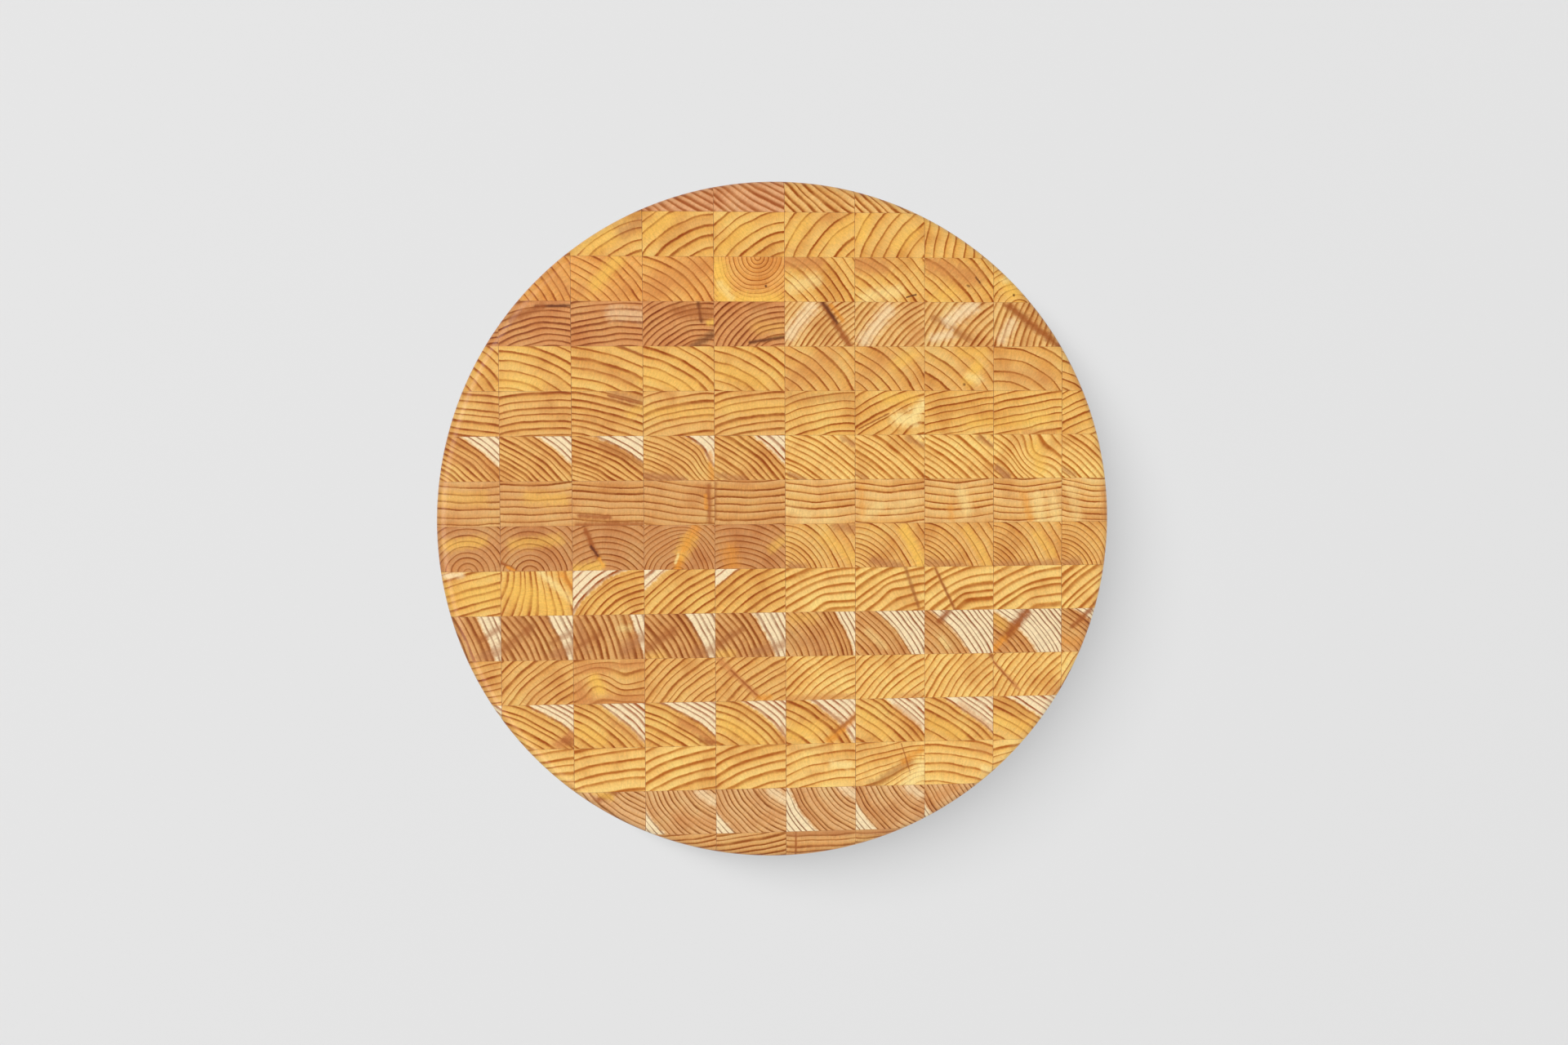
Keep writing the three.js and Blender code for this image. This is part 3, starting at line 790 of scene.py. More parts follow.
class Field:
    """A quantity that varies over a surface, held as a socket, with the usual arithmetic."""

    def __init__(self, sheet: Sheet, socket: bpy.types.NodeSocket) -> None:
        """Wraps an output socket of a node on the sheet."""
        self.sheet = sheet
        self.socket = socket

    def __add__(self, other: "Value") -> "Field":
        """Adds a number."""
        return self.sheet.maths("ADD", self, other)

    def __sub__(self, other: "Value") -> "Field":
        """Takes a number away."""
        return self.sheet.maths("SUBTRACT", self, other)

    def __mul__(self, other: "Value") -> "Field":
        """Multiplies by a number."""
        return self.sheet.maths("MULTIPLY", self, other)

    def __truediv__(self, other: "Value") -> "Field":
        """Divides by a number."""
        return self.sheet.maths("DIVIDE", self, other)

    def from_one(self) -> "Field":
        """Takes the number away from one."""
        return self.sheet.maths("SUBTRACT", 1.0, self)

    def parts(self) -> tuple["Field", "Field", "Field"]:
        """Splits a vector into its three numbers."""
        node = self.sheet.node("ShaderNodeSeparateXYZ")
        self.sheet.put(node.inputs[0], self)
        return tuple(Field(self.sheet, socket) for socket in node.outputs)


Value = Union[float, tuple[float, ...], Field]


def blank(name: str) -> tuple[bpy.types.Material, Sheet]:
    """Starts an empty material.

    Args:
        name: Name of the material.

    Returns:
        The material and its formulas.
    """
    material = bpy.data.materials.new(name)
    material.use_nodes = True
    return material, Sheet(material.node_tree)


@dataclass(frozen=True)
class GrowthRings:
    """The rings of a block.

    Attributes:
        uneven: How uneven the ring widths are, as a share of a ring.
        uneven_pace: How quickly the width changes from ring to ring.
        tremble: How far a ring's line trembles, as a share of a ring.
        far_apart: How far apart planks lie in the noise of ring widths and in the luck of rings.
        squeeze: Least and most that the latewood changes with the ring width.
        late_luck: How much of the latewood's width is luck, and how much isn't.
        late_rise: Widths of latewood before a ring's end at which it begins and is full.
        late_fall: Widths of latewood before a ring's end at which it begins to end.
        faint: Most that luck takes from the latewood of a ring.
        fade_most: Most that the latewood fades along a ring.
        fade_span: Levels of the noise between which it does so.
        ripe_luck: Part of a ring by which luck ripens its earlywood sooner or later.
    """

    uneven: float = 0.42
    uneven_pace: float = 0.8
    tremble: float = 0.10
    far_apart: Point = (31.0, 7.0)
    squeeze: Point = (0.4, 2.0)
    late_luck: Point = (0.5, 1.1)
    late_rise: Point = (1.5, 0.6)
    late_fall: float = 0.35
    faint: float = 0.25
    fade_most: float = 0.30
    fade_span: Point = (0.30, 0.58)
    ripe_luck: float = 0.4

    def draw(self, sheet: Sheet, bent: Field, place: Field, seed: Field) -> tuple[Field, Field, Field]:
        """Counts the rings and finds their latewood.

        Each knot adds a bump, its push times e to minus half the square of the distance in reaches. In each ring the
        latewood rises towards the outside and ends sharply, and its strength differs from ring to ring and fades
        along them.

        Args:
            sheet: The material's formulas.
            bent: Point from the block's middle, across the grain, with the waver.
            place: The same point without it, with its height, for noise.
            seed: Number that differs from plank to plank.

        Returns:
            Distance from the pith, ripeness of the earlywood from about 0 to 1, and share of latewood.
        """
        pith_x, pith_y, width = sheet.own("block_rings").parts()
        start, share, _ = sheet.own("block_growth").parts()
        _, _, widen = sheet.own("block_lean").parts()
        pushes = sheet.own("block_pushes").parts()
        out = sheet.arrows("DISTANCE", bent, sheet.arrow(pith_x, pith_y), output=1)
        for number, push in enumerate(pushes, 1):
            knot_x, knot_y, reach = sheet.own(f"knot_{number}").parts()
            away = sheet.arrows("DISTANCE", bent, sheet.arrow(knot_x, knot_y), output=1)
            away = away / sheet.maths("MAXIMUM", reach, LEAST)
            out = out + push * sheet.maths("EXPONENT", away * away * -0.5)
        past = out - sheet.maths("SQRT", pith_x * pith_x + pith_y * pith_y)
        count = (out - past * past * widen * 0.5) / width + start
        count = count + (sheet.line_noise(count + seed * self.far_apart[0], self.uneven_pace) - 0.5) * self.uneven
        count = count + sheet.sway(place, Noise.TREMBLE) * self.tremble
        whole = sheet.maths("FLOOR", count)
        ring = count - whole
        luck = sheet.chance(whole + seed * self.far_apart[1])
        squeezed = sheet.held((past * widen).from_one(), *self.squeeze)
        share = share * (luck * self.late_luck[0] + self.late_luck[1]) * squeezed
        begin, full = (share * -widths + 1.0 for widths in self.late_rise)
        fall = sheet.ramp(ring, share * -self.late_fall + 1.0, 1.0).from_one()
        fade = sheet.ramp(sheet.noise(place, Noise.FADE), *self.fade_span) * self.fade_most + (1 - self.fade_most)
        late = sheet.ramp(ring, begin, full) * fall * fade * (luck * self.faint + (1 - self.faint))
        return out, ring + (luck - 0.5) * self.ripe_luck, late


@dataclass(frozen=True)
class ClearWood:
    """The wood between the lines of latewood, in multiples of the plank's own colour. Lengths are in millimetres.

    Attributes:
        fresh: The earlywood where a ring starts.
        ripe: The earlywood beside the latewood.
        ripening: Parts of a ring between which it turns from one to the other.
        sunny: Its brightest patches.
        sunny_span: Levels of the noise between which they brighten.
        dusky: Its darkest patches.
        dusky_span: Levels of the noise between which they darken.
        shoulder: The heartwood beside the sapwood.
        shoulder_in: How far inside the sapwood this begins and is full.
        shoulder_out: How far inside the sapwood this has ended and begins to end.
        shoulder_most: Share of it that shows.
        sapwood: Colour of the sapwood, in sRGB.
        sap_soft: Half the width over which heartwood turns to sapwood.
        sap_ragged: How ragged that edge is.
    """

    fresh: Triple = (1.03, 1.12, 1.30)
    ripe: Triple = (0.97, 0.90, 0.76)
    ripening: Point = (0.05, 0.85)
    sunny: Triple = (1.03, 1.14, 1.18)
    sunny_span: Point = (0.50, 0.74)
    dusky: Triple = (0.86, 0.74, 0.66)
    dusky_span: Point = (0.52, 0.28)
    shoulder: Triple = (0.82, 0.66, 0.52)
    shoulder_in: Point = (7.5, 2.6)
    shoulder_out: Point = (0.4, 1.8)
    shoulder_most: float = 0.5
    sapwood: Rgb = (244, 220, 176)
    sap_soft: float = 1.0
    sap_ragged: float = 3.0

    def draw(self, sheet: Sheet, streaky: Field, out: Field, ripeness: Field) -> Field:
        """Lays bright and dark patches over the plank's earlywood, and sapwood over its outer part.

        Args:
            sheet: The material's formulas.
            streaky: Point on the board, for noise.
            out: Distance from the pith.
            ripeness: How far the earlywood has come in its ring, from about 0 to 1.

        Returns:
            Colour of the wood without latewood and marks.
        """
        _, _, edge = sheet.own("block_growth").parts()
        patch = sheet.noise(streaky, Noise.PATCHES)
        deep = sheet.mix(sheet.ramp(ripeness, *self.ripening), (*self.fresh, 1.0), (*self.ripe, 1.0))
        colour = sheet.mix(1.0, sheet.own("block_early"), deep, "MULTIPLY")
        colour = sheet.mix(sheet.ramp(patch, *self.sunny_span), colour, (*self.sunny, 1.0), "MULTIPLY")
        colour = sheet.mix(sheet.ramp(patch, *self.dusky_span), colour, (*self.dusky, 1.0), "MULTIPLY")
        ragged = out + sheet.sway(streaky, Noise.SAP_EDGE) * self.sap_ragged
        begin = sheet.ramp(ragged, *(edge - inside for inside in self.shoulder_in))
        end = sheet.ramp(ragged, *(edge - inside for inside in self.shoulder_out))
        colour = sheet.mix(begin * end * self.shoulder_most, colour, (*self.shoulder, 1.0), "MULTIPLY")
        sap = sheet.ramp(ragged, edge - self.sap_soft, edge + self.sap_soft)
        return sheet.mix(sap, colour, paint(self.sapwood))


@dataclass(frozen=True)
class OiledLarch:
    """Oiled larch: growth rings on the ends of the blocks, and long grain on the rim. Lengths are in millimetres.

    Attributes:
        name: Name of the material.
        rings: The growth rings.
        clear: The wood between their latewood.
        marks: Most marks on one block.
        mark_span: Shares of a mark's width between which it fades out.
        mark_hides: Share of the latewood that a full mark hides.
        waver: How far the rings waver.
        ray_pace: How quickly rays change round the pith and away from it.
        along_grain: Share of a step along the grain that counts as a step across it.
        far_apart: How far apart planks lie in the noise.
        shading: How far mottling, grit and rays each darken or lighten the wood.
        roughness: Roughness of the earlywood.
        late_roughness: Roughness of the latewood.
        mottled_roughness: How far mottling changes the roughness.
        specular: Level of the gloss.
        relief: How far latewood, mottling and grit stand out of the sanded face.
        bump: Strength and height of that relief, the height in metres.
    """

    name: str = "oiled_larch"
    rings: GrowthRings = GrowthRings()
    clear: ClearWood = ClearWood()
    marks: int = 4
    mark_span: Point = (0.05, 1.0)
    mark_hides: float = 0.75
    waver: float = 1.3
    ray_pace: Point = (1.7, 0.16)
    along_grain: float = 0.06
    far_apart: float = 17.0
    shading: float = 0.30
    roughness: float = 0.33
    late_roughness: float = 0.28
    mottled_roughness: float = 0.12
    specular: float = 0.12
    relief: Triple = (0.6, 0.5, 0.4)
    bump: Point = (0.25, 0.00008)

    def make(self) -> bpy.types.Material:
        """Builds the material.

        A point is taken from the block's middle. Its distance from the pith, bent by knots and by a slow waver and
        divided by the ring width, counts the rings. Patches, sapwood and marks are laid over the plank's earlywood,
        and the latewood of each ring, rays and mottling darken what lies under them.

        Returns:
            The material.
        """
        material, sheet = blank(self.name)
        board_x, board_y, height = sheet.arrows("MULTIPLY", sheet.where(), (1 / MM, 1 / MM, 1 / MM)).parts()
        middle_x, middle_y, seed = sheet.own("block_middle").parts()
        lean_x, lean_y, _ = sheet.own("block_lean").parts()
        across = board_x - middle_x - height * lean_x
        along = board_y - middle_y - height * lean_y
        depth = height * self.along_grain
        flat = sheet.arrow(across, along)
        place = sheet.arrow(across, along, depth + seed * self.far_apart)
        streaky = sheet.arrow(board_x, board_y, depth)
        bend = sheet.arrows("SUBTRACT", sheet.noise(place, Noise.WAVER, 1), (0.5, 0.5, 0.5))
        bent = sheet.arrows("MULTIPLY_ADD", bend, (self.waver * 2, self.waver * 2, 0.0), flat)
        out, ripeness, late = self.rings.draw(sheet, bent, place, seed)
        colour = self.clear.draw(sheet, streaky, out, ripeness)
        ragged = sheet.sway(streaky, Noise.MARK_EDGE)
        for number in range(1, self.marks + 1):
            cover = self.mark(sheet, flat, ragged, number)
            colour = sheet.mix(cover, colour, sheet.own(f"mark_{number}_tint"))
            late = late * (cover * self.mark_hides).from_one()
        line = sheet.mix(1.0, colour, sheet.own("block_ratio"), "MULTIPLY")
        colour = sheet.mix(late, colour, sheet.mix(1.0, line, sheet.own("block_late"), "DARKEN"))
        mottle, grit = sheet.sway(streaky, Noise.MOTTLE), sheet.sway(streaky, Noise.GRIT)
        shade = (mottle + grit + self.rays(sheet, bent, out, seed)) * self.shading + 1.0
        colour = sheet.mix(1.0, colour, sheet.arrow(shade, shade, shade), "MULTIPLY")
        rough = late * (self.late_roughness - self.roughness) + mottle * self.mottled_roughness + self.roughness
        relief = late * self.relief[0] + mottle * self.relief[1] + grit * self.relief[2]
        self.surface(sheet, colour, rough, relief)
        return material

    def rays(self, sheet: Sheet, bent: Field, out: Field, seed: Field) -> Field:
        """Gives fine lines that run out from the pith: a noise that is quick round the pith and slow away from it.

        Args:
            sheet: The material's formulas.
            bent: Point from the block's middle, across the grain, with the waver.
            out: Distance from the pith.
            seed: Number that differs from plank to plank.

        Returns:
            The lines, from minus a half to a half.
        """
        pith = sheet.own("block_rings")
        pith_x, pith_y, _ = pith.parts()
        x, y, _ = sheet.arrows("SUBTRACT", bent, pith).parts()
        reach = sheet.maths("SQRT", pith_x * pith_x + pith_y * pith_y)
        turn = sheet.maths("ARCTAN2", x, y * -1.0) * reach
        round_pith, away = self.ray_pace
        return sheet.sway(sheet.arrow(turn * round_pith, out * away, seed), Noise.RAYS)

    def mark(self, sheet: Sheet, flat: Field, ragged: Field, number: int) -> Field:
        """Finds how far one of the block's marks covers the wood.

        The mark fades with the distance from a line: the point's projection on the line, held between its ends, is
        taken from the point, and the length of what is left is roughened by noise.

        Args:
            sheet: The material's formulas.
            flat: Point from the block's middle, across the grain.
            ragged: Noise that roughens the mark.
            number: Which of the block's marks.

        Returns:
            The cover, from 0 to 1.
        """
        start_x, start_y, width = sheet.own(f"mark_{number}_start").parts()
        run_x, run_y, strength = sheet.own(f"mark_{number}_run").parts()
        run = sheet.arrow(run_x, run_y)
        lead = sheet.arrows("SUBTRACT", flat, sheet.arrow(start_x, start_y))
        length = sheet.arrows("DOT_PRODUCT", run, run, output=1)
        share = sheet.arrows("DOT_PRODUCT", lead, run, output=1) / sheet.maths("MAXIMUM", length, LEAST)
        share = sheet.held(share, 0.0, 1.0)
        nearest = sheet.arrows("MULTIPLY", run, sheet.arrow(share, share))
        away = sheet.arrows("DISTANCE", lead, nearest, output=1) / sheet.maths("MAXIMUM", width, LEAST) + ragged
        return sheet.ramp(away, *self.mark_span).from_one() * strength

    def surface(self, sheet: Sheet, colour: Field, rough: Field, relief: Field) -> None:
        """Joins colour, roughness and a shallow relief to the shader.

        Args:
            sheet: The material's formulas.
            colour: Colour of the wood.
            rough: Roughness.
            relief: Height of the sanded grain, from 0 to 1.
        """
        strength, distance = self.bump
        bump = {"Strength": strength, "Distance": distance, "Height": relief}
        normal = sheet.field(sheet.node("ShaderNodeBump"), bump)
        shader = sheet.node("ShaderNodeBsdfPrincipled")
        shader.inputs["Specular IOR Level"].default_value = self.specular
        sheet.show(sheet.field(shader, {"Base Color": colour, "Roughness": rough, "Normal": normal}))


@dataclass(frozen=True)
class DriedGlue:
    """Dried wood glue: dark lines that are clearer in places.

    Attributes:
        name: Name of the material.
        dark: Colour of a full line, in sRGB.
        clear: Colour where the glue is thin.
        thin_span: Levels of the noise between which the glue thins.
        roughness: Roughness of the glue.
        specular: Level of the gloss.
    """

    name: str = "dried_glue"
    dark: Rgb = (112, 66, 34)
    clear: Rgb = (170, 112, 62)
    thin_span: Point = (0.35, 0.7)
    roughness: float = 0.6
    specular: float = 0.3

    def make(self) -> bpy.types.Material:
        """Builds the material: two browns mixed by a cloudy noise along the lines."""
        material, sheet = blank(self.name)
        share = sheet.ramp(sheet.noise(sheet.where(), Noise.THIN_GLUE), *self.thin_span)
        shader = sheet.node("ShaderNodeBsdfPrincipled")
        shader.inputs["Roughness"].default_value = self.roughness
        shader.inputs["Specular IOR Level"].default_value = self.specular
        sheet.show(sheet.field(shader, {"Base Color": sheet.mix(share, paint(self.dark), paint(self.clear))}))
        return material


# Sub-assemblies

@dataclass(frozen=True)
class Layout:
    """Where the saw cuts and glue films lie, in millimetres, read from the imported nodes.

    Attributes:
        slab: The round slab.
        strips: Left and right side of each strip by name, from left to right.
        centre: Middle of the centre block along the strips.
        pitch: Distance from one plank joint to the next.
        film: Thickness of a glue film between strips.
        plank_film: Thickness of a glue film between planks.
        smallest: A corner of wood shorter than this stays with the block beside it.
        run_blocks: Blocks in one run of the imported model.
        middle_row: Row of the centre block, counted from the back.
    """

    slab: Slab
    strips: dict[str, Point]
    centre: float
    pitch: float
    film: float
    plank_film: float = 0.1
    smallest: float = 1.5
    run_blocks: int = 3
    middle_row: int = 7

    @classmethod
    def read(cls, nodes: list[str], low: np.ndarray, high: np.ndarray) -> "Layout":
        """Reads the layout from the boxes of the middle runs.

        Args:
            nodes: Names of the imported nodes.
            low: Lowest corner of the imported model, in metres.
            high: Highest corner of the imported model, in metres.

        Returns:
            The layout.
        """
        middle_runs = [node for node in nodes if node.endswith(MIDDLE_RUN)]
        boxes = {node.removesuffix(MIDDLE_RUN): np.array(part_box(node)) / MM for node in middle_runs}
        order = sorted(boxes, key=lambda strip: boxes[strip][0, 0])
        strips = {strip: tuple(boxes[strip][:, 0].tolist()) for strip in order}
        front, back = boxes[CENTRE_STRIP][:, 1]
        film = strips[order[1]][0] - strips[order[0]][1]
        slab = Slab(radius=(high[0] - low[0]) / 2 / MM, thickness=(high[2] - low[2]) / MM)
        return cls(slab, strips, (front + back) / 2, (back - front) / cls.run_blocks, film)

    def joint(self, number: int) -> float:
        """Gives the plank joint behind a block, numbered from the centre block towards the back."""
        return self.centre + (number + 0.5) * self.pitch

    def numbers(self, strip: str) -> range:
        """Counts a strip's blocks outwards from the row of the centre block.

        Args:
            strip: Name of the strip.

        Returns:
            The numbers from front to back.
        """
        left, right = self.strips[strip]
        half = math.sqrt(self.slab.radius**2 - max(0.0, left, -right) ** 2) - self.smallest
        first = math.ceil((-half - self.centre) / self.pitch - 0.5)
        last = math.floor((half - self.centre) / self.pitch + 0.5)
        return range(first, last + 1)

    def cell(self, strip: str, number: int) -> Cell:
        """Gives the wood of one block, between half a film on each joint and out to the rim at a strip's ends."""
        numbers = self.numbers(strip)
        front = -self.slab.radius if number == numbers[0] else self.joint(number - 1) + self.plank_film / 2
        back = self.slab.radius if number == numbers[-1] else self.joint(number) - self.plank_film / 2
        return Cell(*self.strips[strip], front, back)

    def run(self, strip: str, number: int) -> str:
        """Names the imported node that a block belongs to."""
        run = (number + self.run_blocks // 2) // self.run_blocks
        if run == 0:
            return strip + MIDDLE_RUN
        return f"{strip}_{'back' if run > 0 else 'front'}_run_{abs(run)}"


@dataclass
class Block:
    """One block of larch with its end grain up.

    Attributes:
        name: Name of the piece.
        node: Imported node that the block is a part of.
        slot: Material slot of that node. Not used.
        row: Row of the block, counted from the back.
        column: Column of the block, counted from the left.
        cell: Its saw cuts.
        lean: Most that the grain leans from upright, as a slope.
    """

    name: str
    node: str
    slot: str
    row: int
    column: int
    cell: Cell
    lean: float = 0.035

    def build(self, slab: Slab) -> bpy.types.Object:
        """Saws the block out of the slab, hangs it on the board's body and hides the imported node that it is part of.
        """
        piece = piece_from(self.name, [slab.sawn(self.cell)])
        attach(piece, BODY)
        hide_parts(self.node)
        return piece

    def grain(self, middle: Point) -> dict[str, Sequence[float]]:
        """Gathers the numbers of the block's own rings, knots and marks.

        Args:
            middle: Middle of the block's whole cell, in millimetres.

        Returns:
            The vectors that the finish reads, by name.
        """
        here = (self.row, self.column)
        plank = next(p for p in PLANKS if p.row == self.row and p.first <= self.column < p.first + len(p.ends))
        place = self.column - plank.first
        x, y, width, start = plank.ends[place]
        edge = math.hypot(x, y) + (plank.sap[place] if plank.sap else NO_SAP)
        seed = self.row + 0.5 * (plank.first > LAST_LEFT_COLUMN)
        lean = np.random.default_rng(ROW_SEEDS * self.row + self.column).uniform(-self.lean, self.lean, 2)
        early, late = (np.array(linear(colour)) for colour in plank.tone.value)
        knots = KNOTS.get(here, ())
        values = {
            "block_middle": (*middle, seed),
            "block_lean": (*lean, plank.widen),
            "block_rings": (x, y, width),
            "block_growth": (start, plank.late, edge),
            "block_early": early,
            "block_late": late,
            "block_ratio": late / early,
            "block_pushes": np.pad([knot.push for knot in knots], (0, 3 - len(knots))),
        }
        for number, knot in enumerate(knots, 1):
            values[f"knot_{number}"] = (knot.x, knot.y, knot.reach)
        for number, mark in enumerate(MARKS.get(here, ()), 1):
            values[f"mark_{number}_start"] = (mark.x, mark.y, mark.width)
            values[f"mark_{number}_run"] = (mark.to_x - mark.x, mark.to_y - mark.y, mark.strength)
            values[f"mark_{number}_tint"] = linear(mark.tint.value)
        return values

    def dress(self, piece: bpy.types.Object, larch: bpy.types.Material, middle: Point) -> None:
        """Gives the block its finish and the numbers of its own grain.

        Args:
            piece: The block's object.
            larch: The finish.
            middle: Middle of the block's whole cell, in millimetres.
        """
        mesh = piece.data
        mesh.materials.append(larch)
        for key, value in self.grain(middle).items():
            layer = mesh.attributes.new(key, "FLOAT_VECTOR", "POINT")
            layer.data.foreach_set("vector", np.tile(np.array(value, np.float32), len(mesh.vertices)))


@dataclass
class GlueLattice:
    """The glue films of one quarter of the board.

    Attributes:
        name: Name of the piece.
        nodes: Packed glue lines that it stands for a part of.
        cells: Its films.
        recess: How far the glue lies under the wood, in millimetres.
    """

    name: str
    nodes: list[str]
    cells: list[Cell] = field(default_factory=list)
    recess: float = 0.02

    def build(self, slab: Slab) -> bpy.types.Object:
        """Saws the films out of the slab as one piece."""
        piece = piece_from(self.name, [slab.sawn(cell, self.recess) for cell in self.cells])
        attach(piece, BODY)
        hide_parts(*self.nodes)
        return piece

    def dress(self, piece: bpy.types.Object, glue: bpy.types.Material) -> None:
        """Gives the films their finish."""
        piece.data.materials.append(glue)


@dataclass
class Board:
    """The whole board: its blocks and the glue between them.

    Attributes:
        layout: Saw cuts and films.
        slots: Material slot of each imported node.
    """

    layout: Layout
    slots: dict[str, str]

    def blocks(self) -> list[Block]:
        """Lists the blocks, strip by strip from the left and each strip from the back."""
        layout = self.layout
        made = []
        for column, strip in enumerate(layout.strips):
            for number in reversed(layout.numbers(strip)):
                node = layout.run(strip, number)
                row = layout.middle_row - number
                name = f"{strip}_block_{row + 1}"
                made.append(Block(name, node, self.slots[node], row, column, layout.cell(strip, number)))
        return made

    def middle(self, block: Block) -> Point:
        """Gives the middle of a block's cell as it was before the slab was sawn round."""
        layout = self.layout
        left, right = layout.strips[CENTRE_STRIP]
        across = (left + right) / 2 + (block.column - LAST_LEFT_COLUMN) * (right - left + layout.film)
        return across, layout.centre + (layout.middle_row - block.row) * layout.pitch

    def lattices(self) -> list[GlueLattice]:
        """Lists the four lattices: the plank films of their strips, and their half of each film between strips."""
        layout, radius, half = self.layout, self.layout.slab.radius, self.layout.plank_film / 2
        names = list(layout.strips)
        split = layout.joint(-1) + layout.film
        made = {}
        for side in ("left", "right"):
            lines = sorted(node for node in self.slots if node.startswith(f"{side}_glue_line"))
            for end in ("front", "back"):
                made[side, end] = GlueLattice(f"{side}_{end}_glue", lines)
        for column, strip in enumerate(names):
            side = "left" if column <= LAST_LEFT_COLUMN else "right"
            for number in layout.numbers(strip)[1:]:
                joint = layout.joint(number - 1)
                end = "front" if joint < split else "back"
                made[side, end].cells.append(Cell(*layout.strips[strip], joint - half, joint + half))
        for column, (strip, beside) in enumerate(zip(names, names[1:])):
            side = "left" if column < LAST_LEFT_COLUMN else "right"
            left, right = layout.strips[strip][1], layout.strips[beside][0]
            made[side, "front"].cells.append(Cell(left, right, -radius, split))
            made[side, "back"].cells.append(Cell(left, right, split, radius))
        return list(made.values())


# Studio

@dataclass(frozen=True)
class FlatLamp:
    """A flat lamp that faces the board.

    Attributes:
        name: Name of the lamp.
        power: Power, in watts.
        size: Length and width, in metres.
        way: Direction from the board to the lamp.
        far: Distance from the board, in metres.
        gloss_only: Whether only the sheen of the wood shows it.
    """

    name: str
    power: float
    size: Point
    way: Triple
    far: float
    gloss_only: bool = False

    def hang(self) -> None:
        """Hangs the lamp: its length runs up the slope, its width is level, and it looks at the board."""
        lamp = bpy.data.lights.new(self.name, "AREA")
        lamp.shape = "RECTANGLE"
        lamp.size, lamp.size_y = self.size
        lamp.energy = self.power
        away = np.array(self.way) / np.linalg.norm(self.way)
        level = np.cross([0.0, 0.0, 1.0], away)
        level /= np.linalg.norm(level)
        turned = np.eye(4)
        turned[:3] = np.stack([np.cross(level, away), level, away, away * self.far], axis=1)
        holder = stand(self.name, lamp)
        holder.matrix_world = Matrix(turned.tolist())
        holder.visible_diffuse = not self.gloss_only


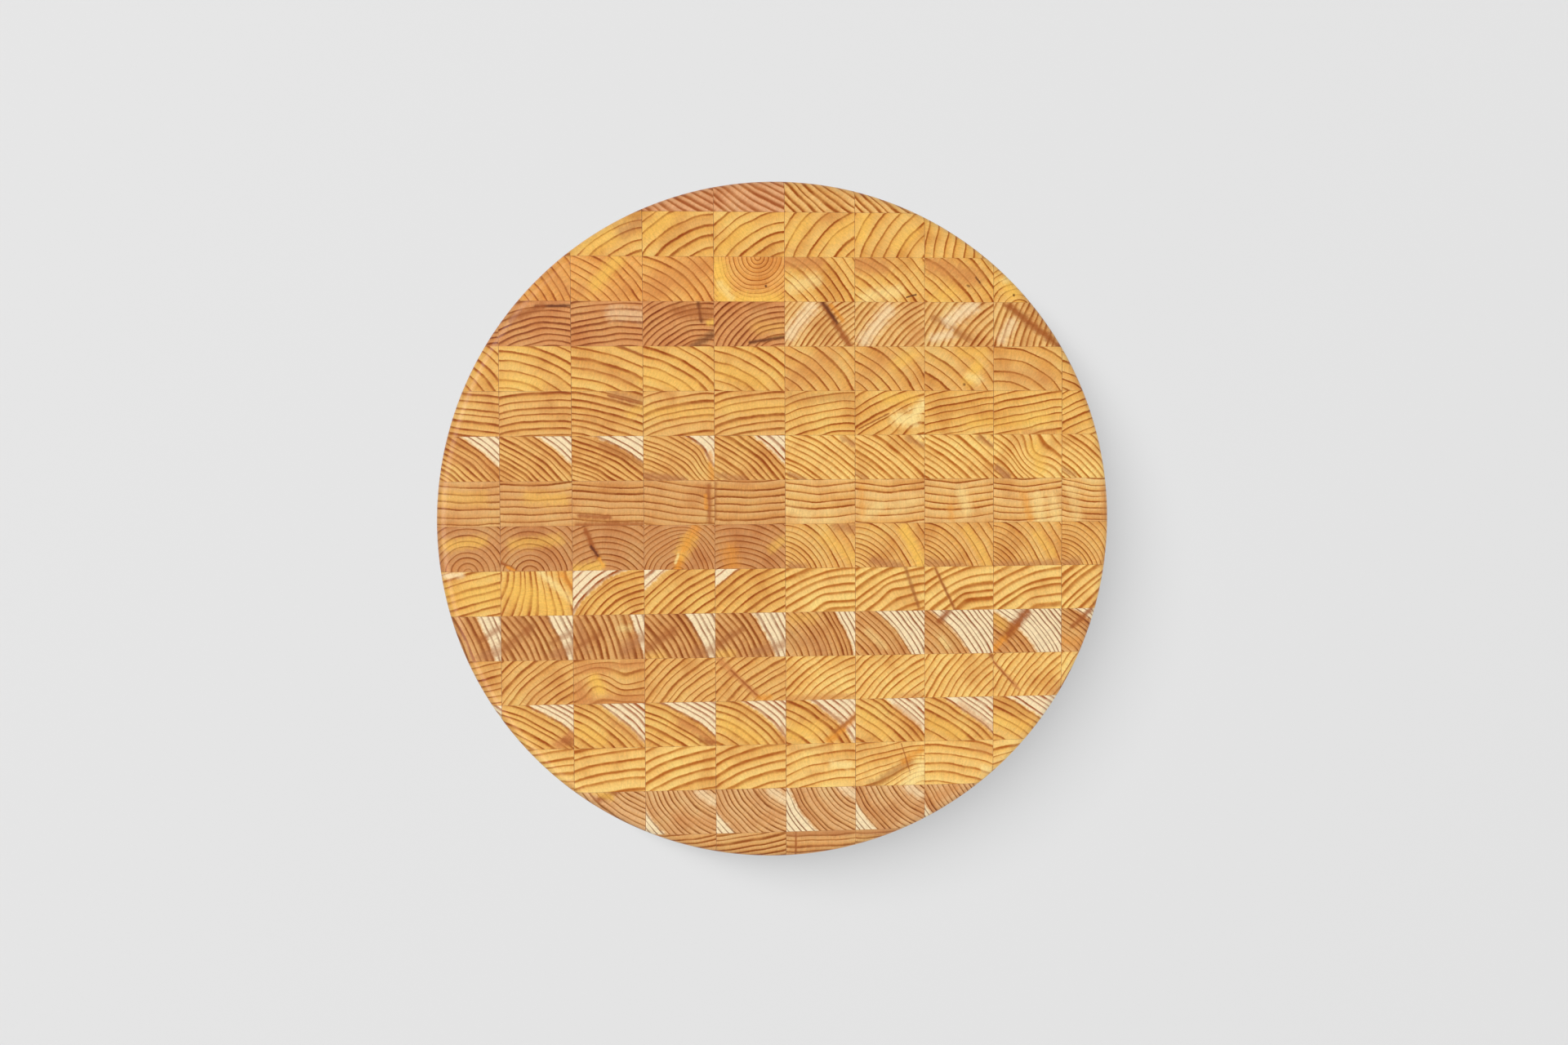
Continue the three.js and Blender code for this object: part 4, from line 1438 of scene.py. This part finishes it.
@dataclass(frozen=True)
class Studio:
    """Plain pale floor, soft light from the upper left, and the camera above the board.

    Attributes:
        pale: Colour of floor and background, in sRGB.
        floor_size: Width of the floor, in metres.
        floor_points: Points along one side of the floor.
        own_light: Share of the floor's look that takes no shadow.
        fade: Distances from the board between which the floor's look turns to the background's, in metres.
        white: Colour of the even light, in sRGB.
        sky: Level of the even light.
        lamps: The long soft lamp, and a pale card on the left.
        fill: Strength of the lamp on the other side, which casts no shadow.
        fill_angle: How wide that lamp looks, in degrees.
        fill_turn: Turn of that lamp about X, Y and Z, in degrees.
        lens: Focal length, in millimetres.
        sensor: Width of the sensor, in millimetres.
        clip: Nearest that the camera sees, in metres.
        eye: Place of the camera, in millimetres.
        look: Turn of the camera about X, Y and Z, in degrees.
    """

    pale: Rgb = (227, 227, 227)
    floor_size: float = 6.0
    floor_points: int = 13
    own_light: float = 0.36
    fade: Point = (0.7, 2.4)
    white: Rgb = (255, 255, 255)
    sky: float = 0.15
    lamps: tuple[FlatLamp, ...] = (
        FlatLamp("long_lamp", 1150.0, (11.7, 2.1), (-0.459, 0.319, 0.829), 12.0),
        FlatLamp("side_card", 850.0, (5.0, 7.0), (-0.653, -0.238, 0.719), 6.0, gloss_only=True),
    )
    fill: float = 1.35
    fill_angle: float = 60.0
    fill_turn: Triple = (28.0, 40.0, 0.0)
    lens: float = 50.0
    sensor: float = 36.0
    clip: float = 0.01
    eye: Triple = (-130.36, 52.65, 1123.84)
    look: Triple = (-2.7664, -6.9893, -0.1833)

    def seen(self, sheet: Sheet) -> Field:
        """Gives 1 where the camera, a mirror or glass looks, and 0 for the light that falls on the object."""
        path = sheet.node("ShaderNodeLightPath")
        kinds = ("Camera", "Glossy", "Transmission")
        camera, gloss, glass = (Field(sheet, path.outputs[f"Is {kind} Ray"]) for kind in kinds)
        return sheet.maths("MINIMUM", camera + gloss + glass, 1.0)

    def floor(self) -> None:
        """Lays the floor: a sheet of paper that keeps the board's shadow and fades into the background far out."""
        step = np.linspace(-0.5, 0.5, self.floor_points) * self.floor_size
        x, y = np.meshgrid(step, step)
        points = np.stack([x, y, np.zeros_like(x)], axis=-1).reshape(-1, 3)
        index = np.arange(x.size).reshape(x.shape)
        faces = np.stack([index[:-1, :-1], index[:-1, 1:], index[1:, 1:], index[1:, :-1]], axis=-1).reshape(-1, 4)
        mesh = bpy.data.meshes.new("floor")
        mesh.from_pydata(points.tolist(), [], faces.tolist())
        floor = stand("floor", mesh)
        mesh.materials.append(self.paper())
        floor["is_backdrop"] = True

    def paper(self) -> bpy.types.Material:
        """Builds the floor's finish: plain paper mixed with a glow of its own colour, which grows far out."""
        material, sheet = blank("pale_paper")
        shade = paint(self.pale)
        paper = sheet.field(sheet.node("ShaderNodeBsdfDiffuse"), {"Color": shade})
        glow = sheet.field(sheet.node("ShaderNodeEmission"), {"Color": shade, "Strength": 1.0})
        far = sheet.ramp(sheet.arrows("LENGTH", sheet.where(), output=1), *self.fade)
        share = self.seen(sheet) * (far * (1.0 - self.own_light) + self.own_light)
        sheet.show(sheet.field(sheet.node("ShaderNodeMixShader"), {0: share, 1: paper, 2: glow}))
        return material

    def light(self) -> None:
        """Sets the even light of the room, whose own look is the floor's, and the lamps."""
        world = bpy.data.worlds.new("room")
        bpy.context.scene.world = world
        world.use_nodes = True
        sheet = Sheet(world.node_tree)
        even = {"Color": paint(self.white), "Strength": self.sky}
        pale = {"Color": paint(self.pale), "Strength": 1.0}
        light, paper = (sheet.field(sheet.node("ShaderNodeBackground"), inputs) for inputs in (even, pale))
        both = sheet.field(sheet.node("ShaderNodeMixShader"), {0: self.seen(sheet), 1: light, 2: paper})
        sheet.show(both, "ShaderNodeOutputWorld")
        for lamp in self.lamps:
            lamp.hang()
        fill = bpy.data.lights.new("fill_lamp", "SUN")
        fill.energy = self.fill
        fill.angle = math.radians(self.fill_angle)
        fill.use_shadow = False
        stand("fill_lamp", fill).rotation_euler = np.radians(self.fill_turn)

    def camera(self) -> None:
        """Places the camera and makes it the scene's."""
        camera = bpy.data.cameras.new("camera")
        camera.lens = self.lens
        camera.sensor_width = self.sensor
        camera.clip_start = self.clip
        holder = stand("camera", camera)
        holder.location = np.array(self.eye) * MM
        holder.rotation_euler = np.radians(self.look)
        bpy.context.scene.camera = holder


def main() -> None:
    """Builds the board and its studio."""
    logging.basicConfig(level=logging.INFO, format="%(message)s")
    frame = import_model()
    packed = [list(corner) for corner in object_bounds()]
    bpy.context.scene.view_settings.view_transform = "Standard"
    slots = {part["node"]: part["material_slot"] for part in frame["record"]["subparts"]}
    board = Board(Layout.read(list(frame["nodes"]), *np.array(packed)), slots)
    larch, glue = OiledLarch().make(), DriedGlue().make()
    for block in board.blocks():
        piece = block.build(board.layout.slab)
        block.dress(piece, larch, board.middle(block))
        LOG.info("%s: %d points, part of %s", piece.name, len(piece.data.vertices), block.node)
    for lattice in board.lattices():
        piece = lattice.build(board.layout.slab)
        lattice.dress(piece, glue)
        LOG.info("%s: %d films, %d points", piece.name, len(lattice.cells), len(piece.data.vertices))
    studio = Studio()
    studio.floor()
    studio.light()
    studio.camera()


if __name__ == "__main__":
    main()
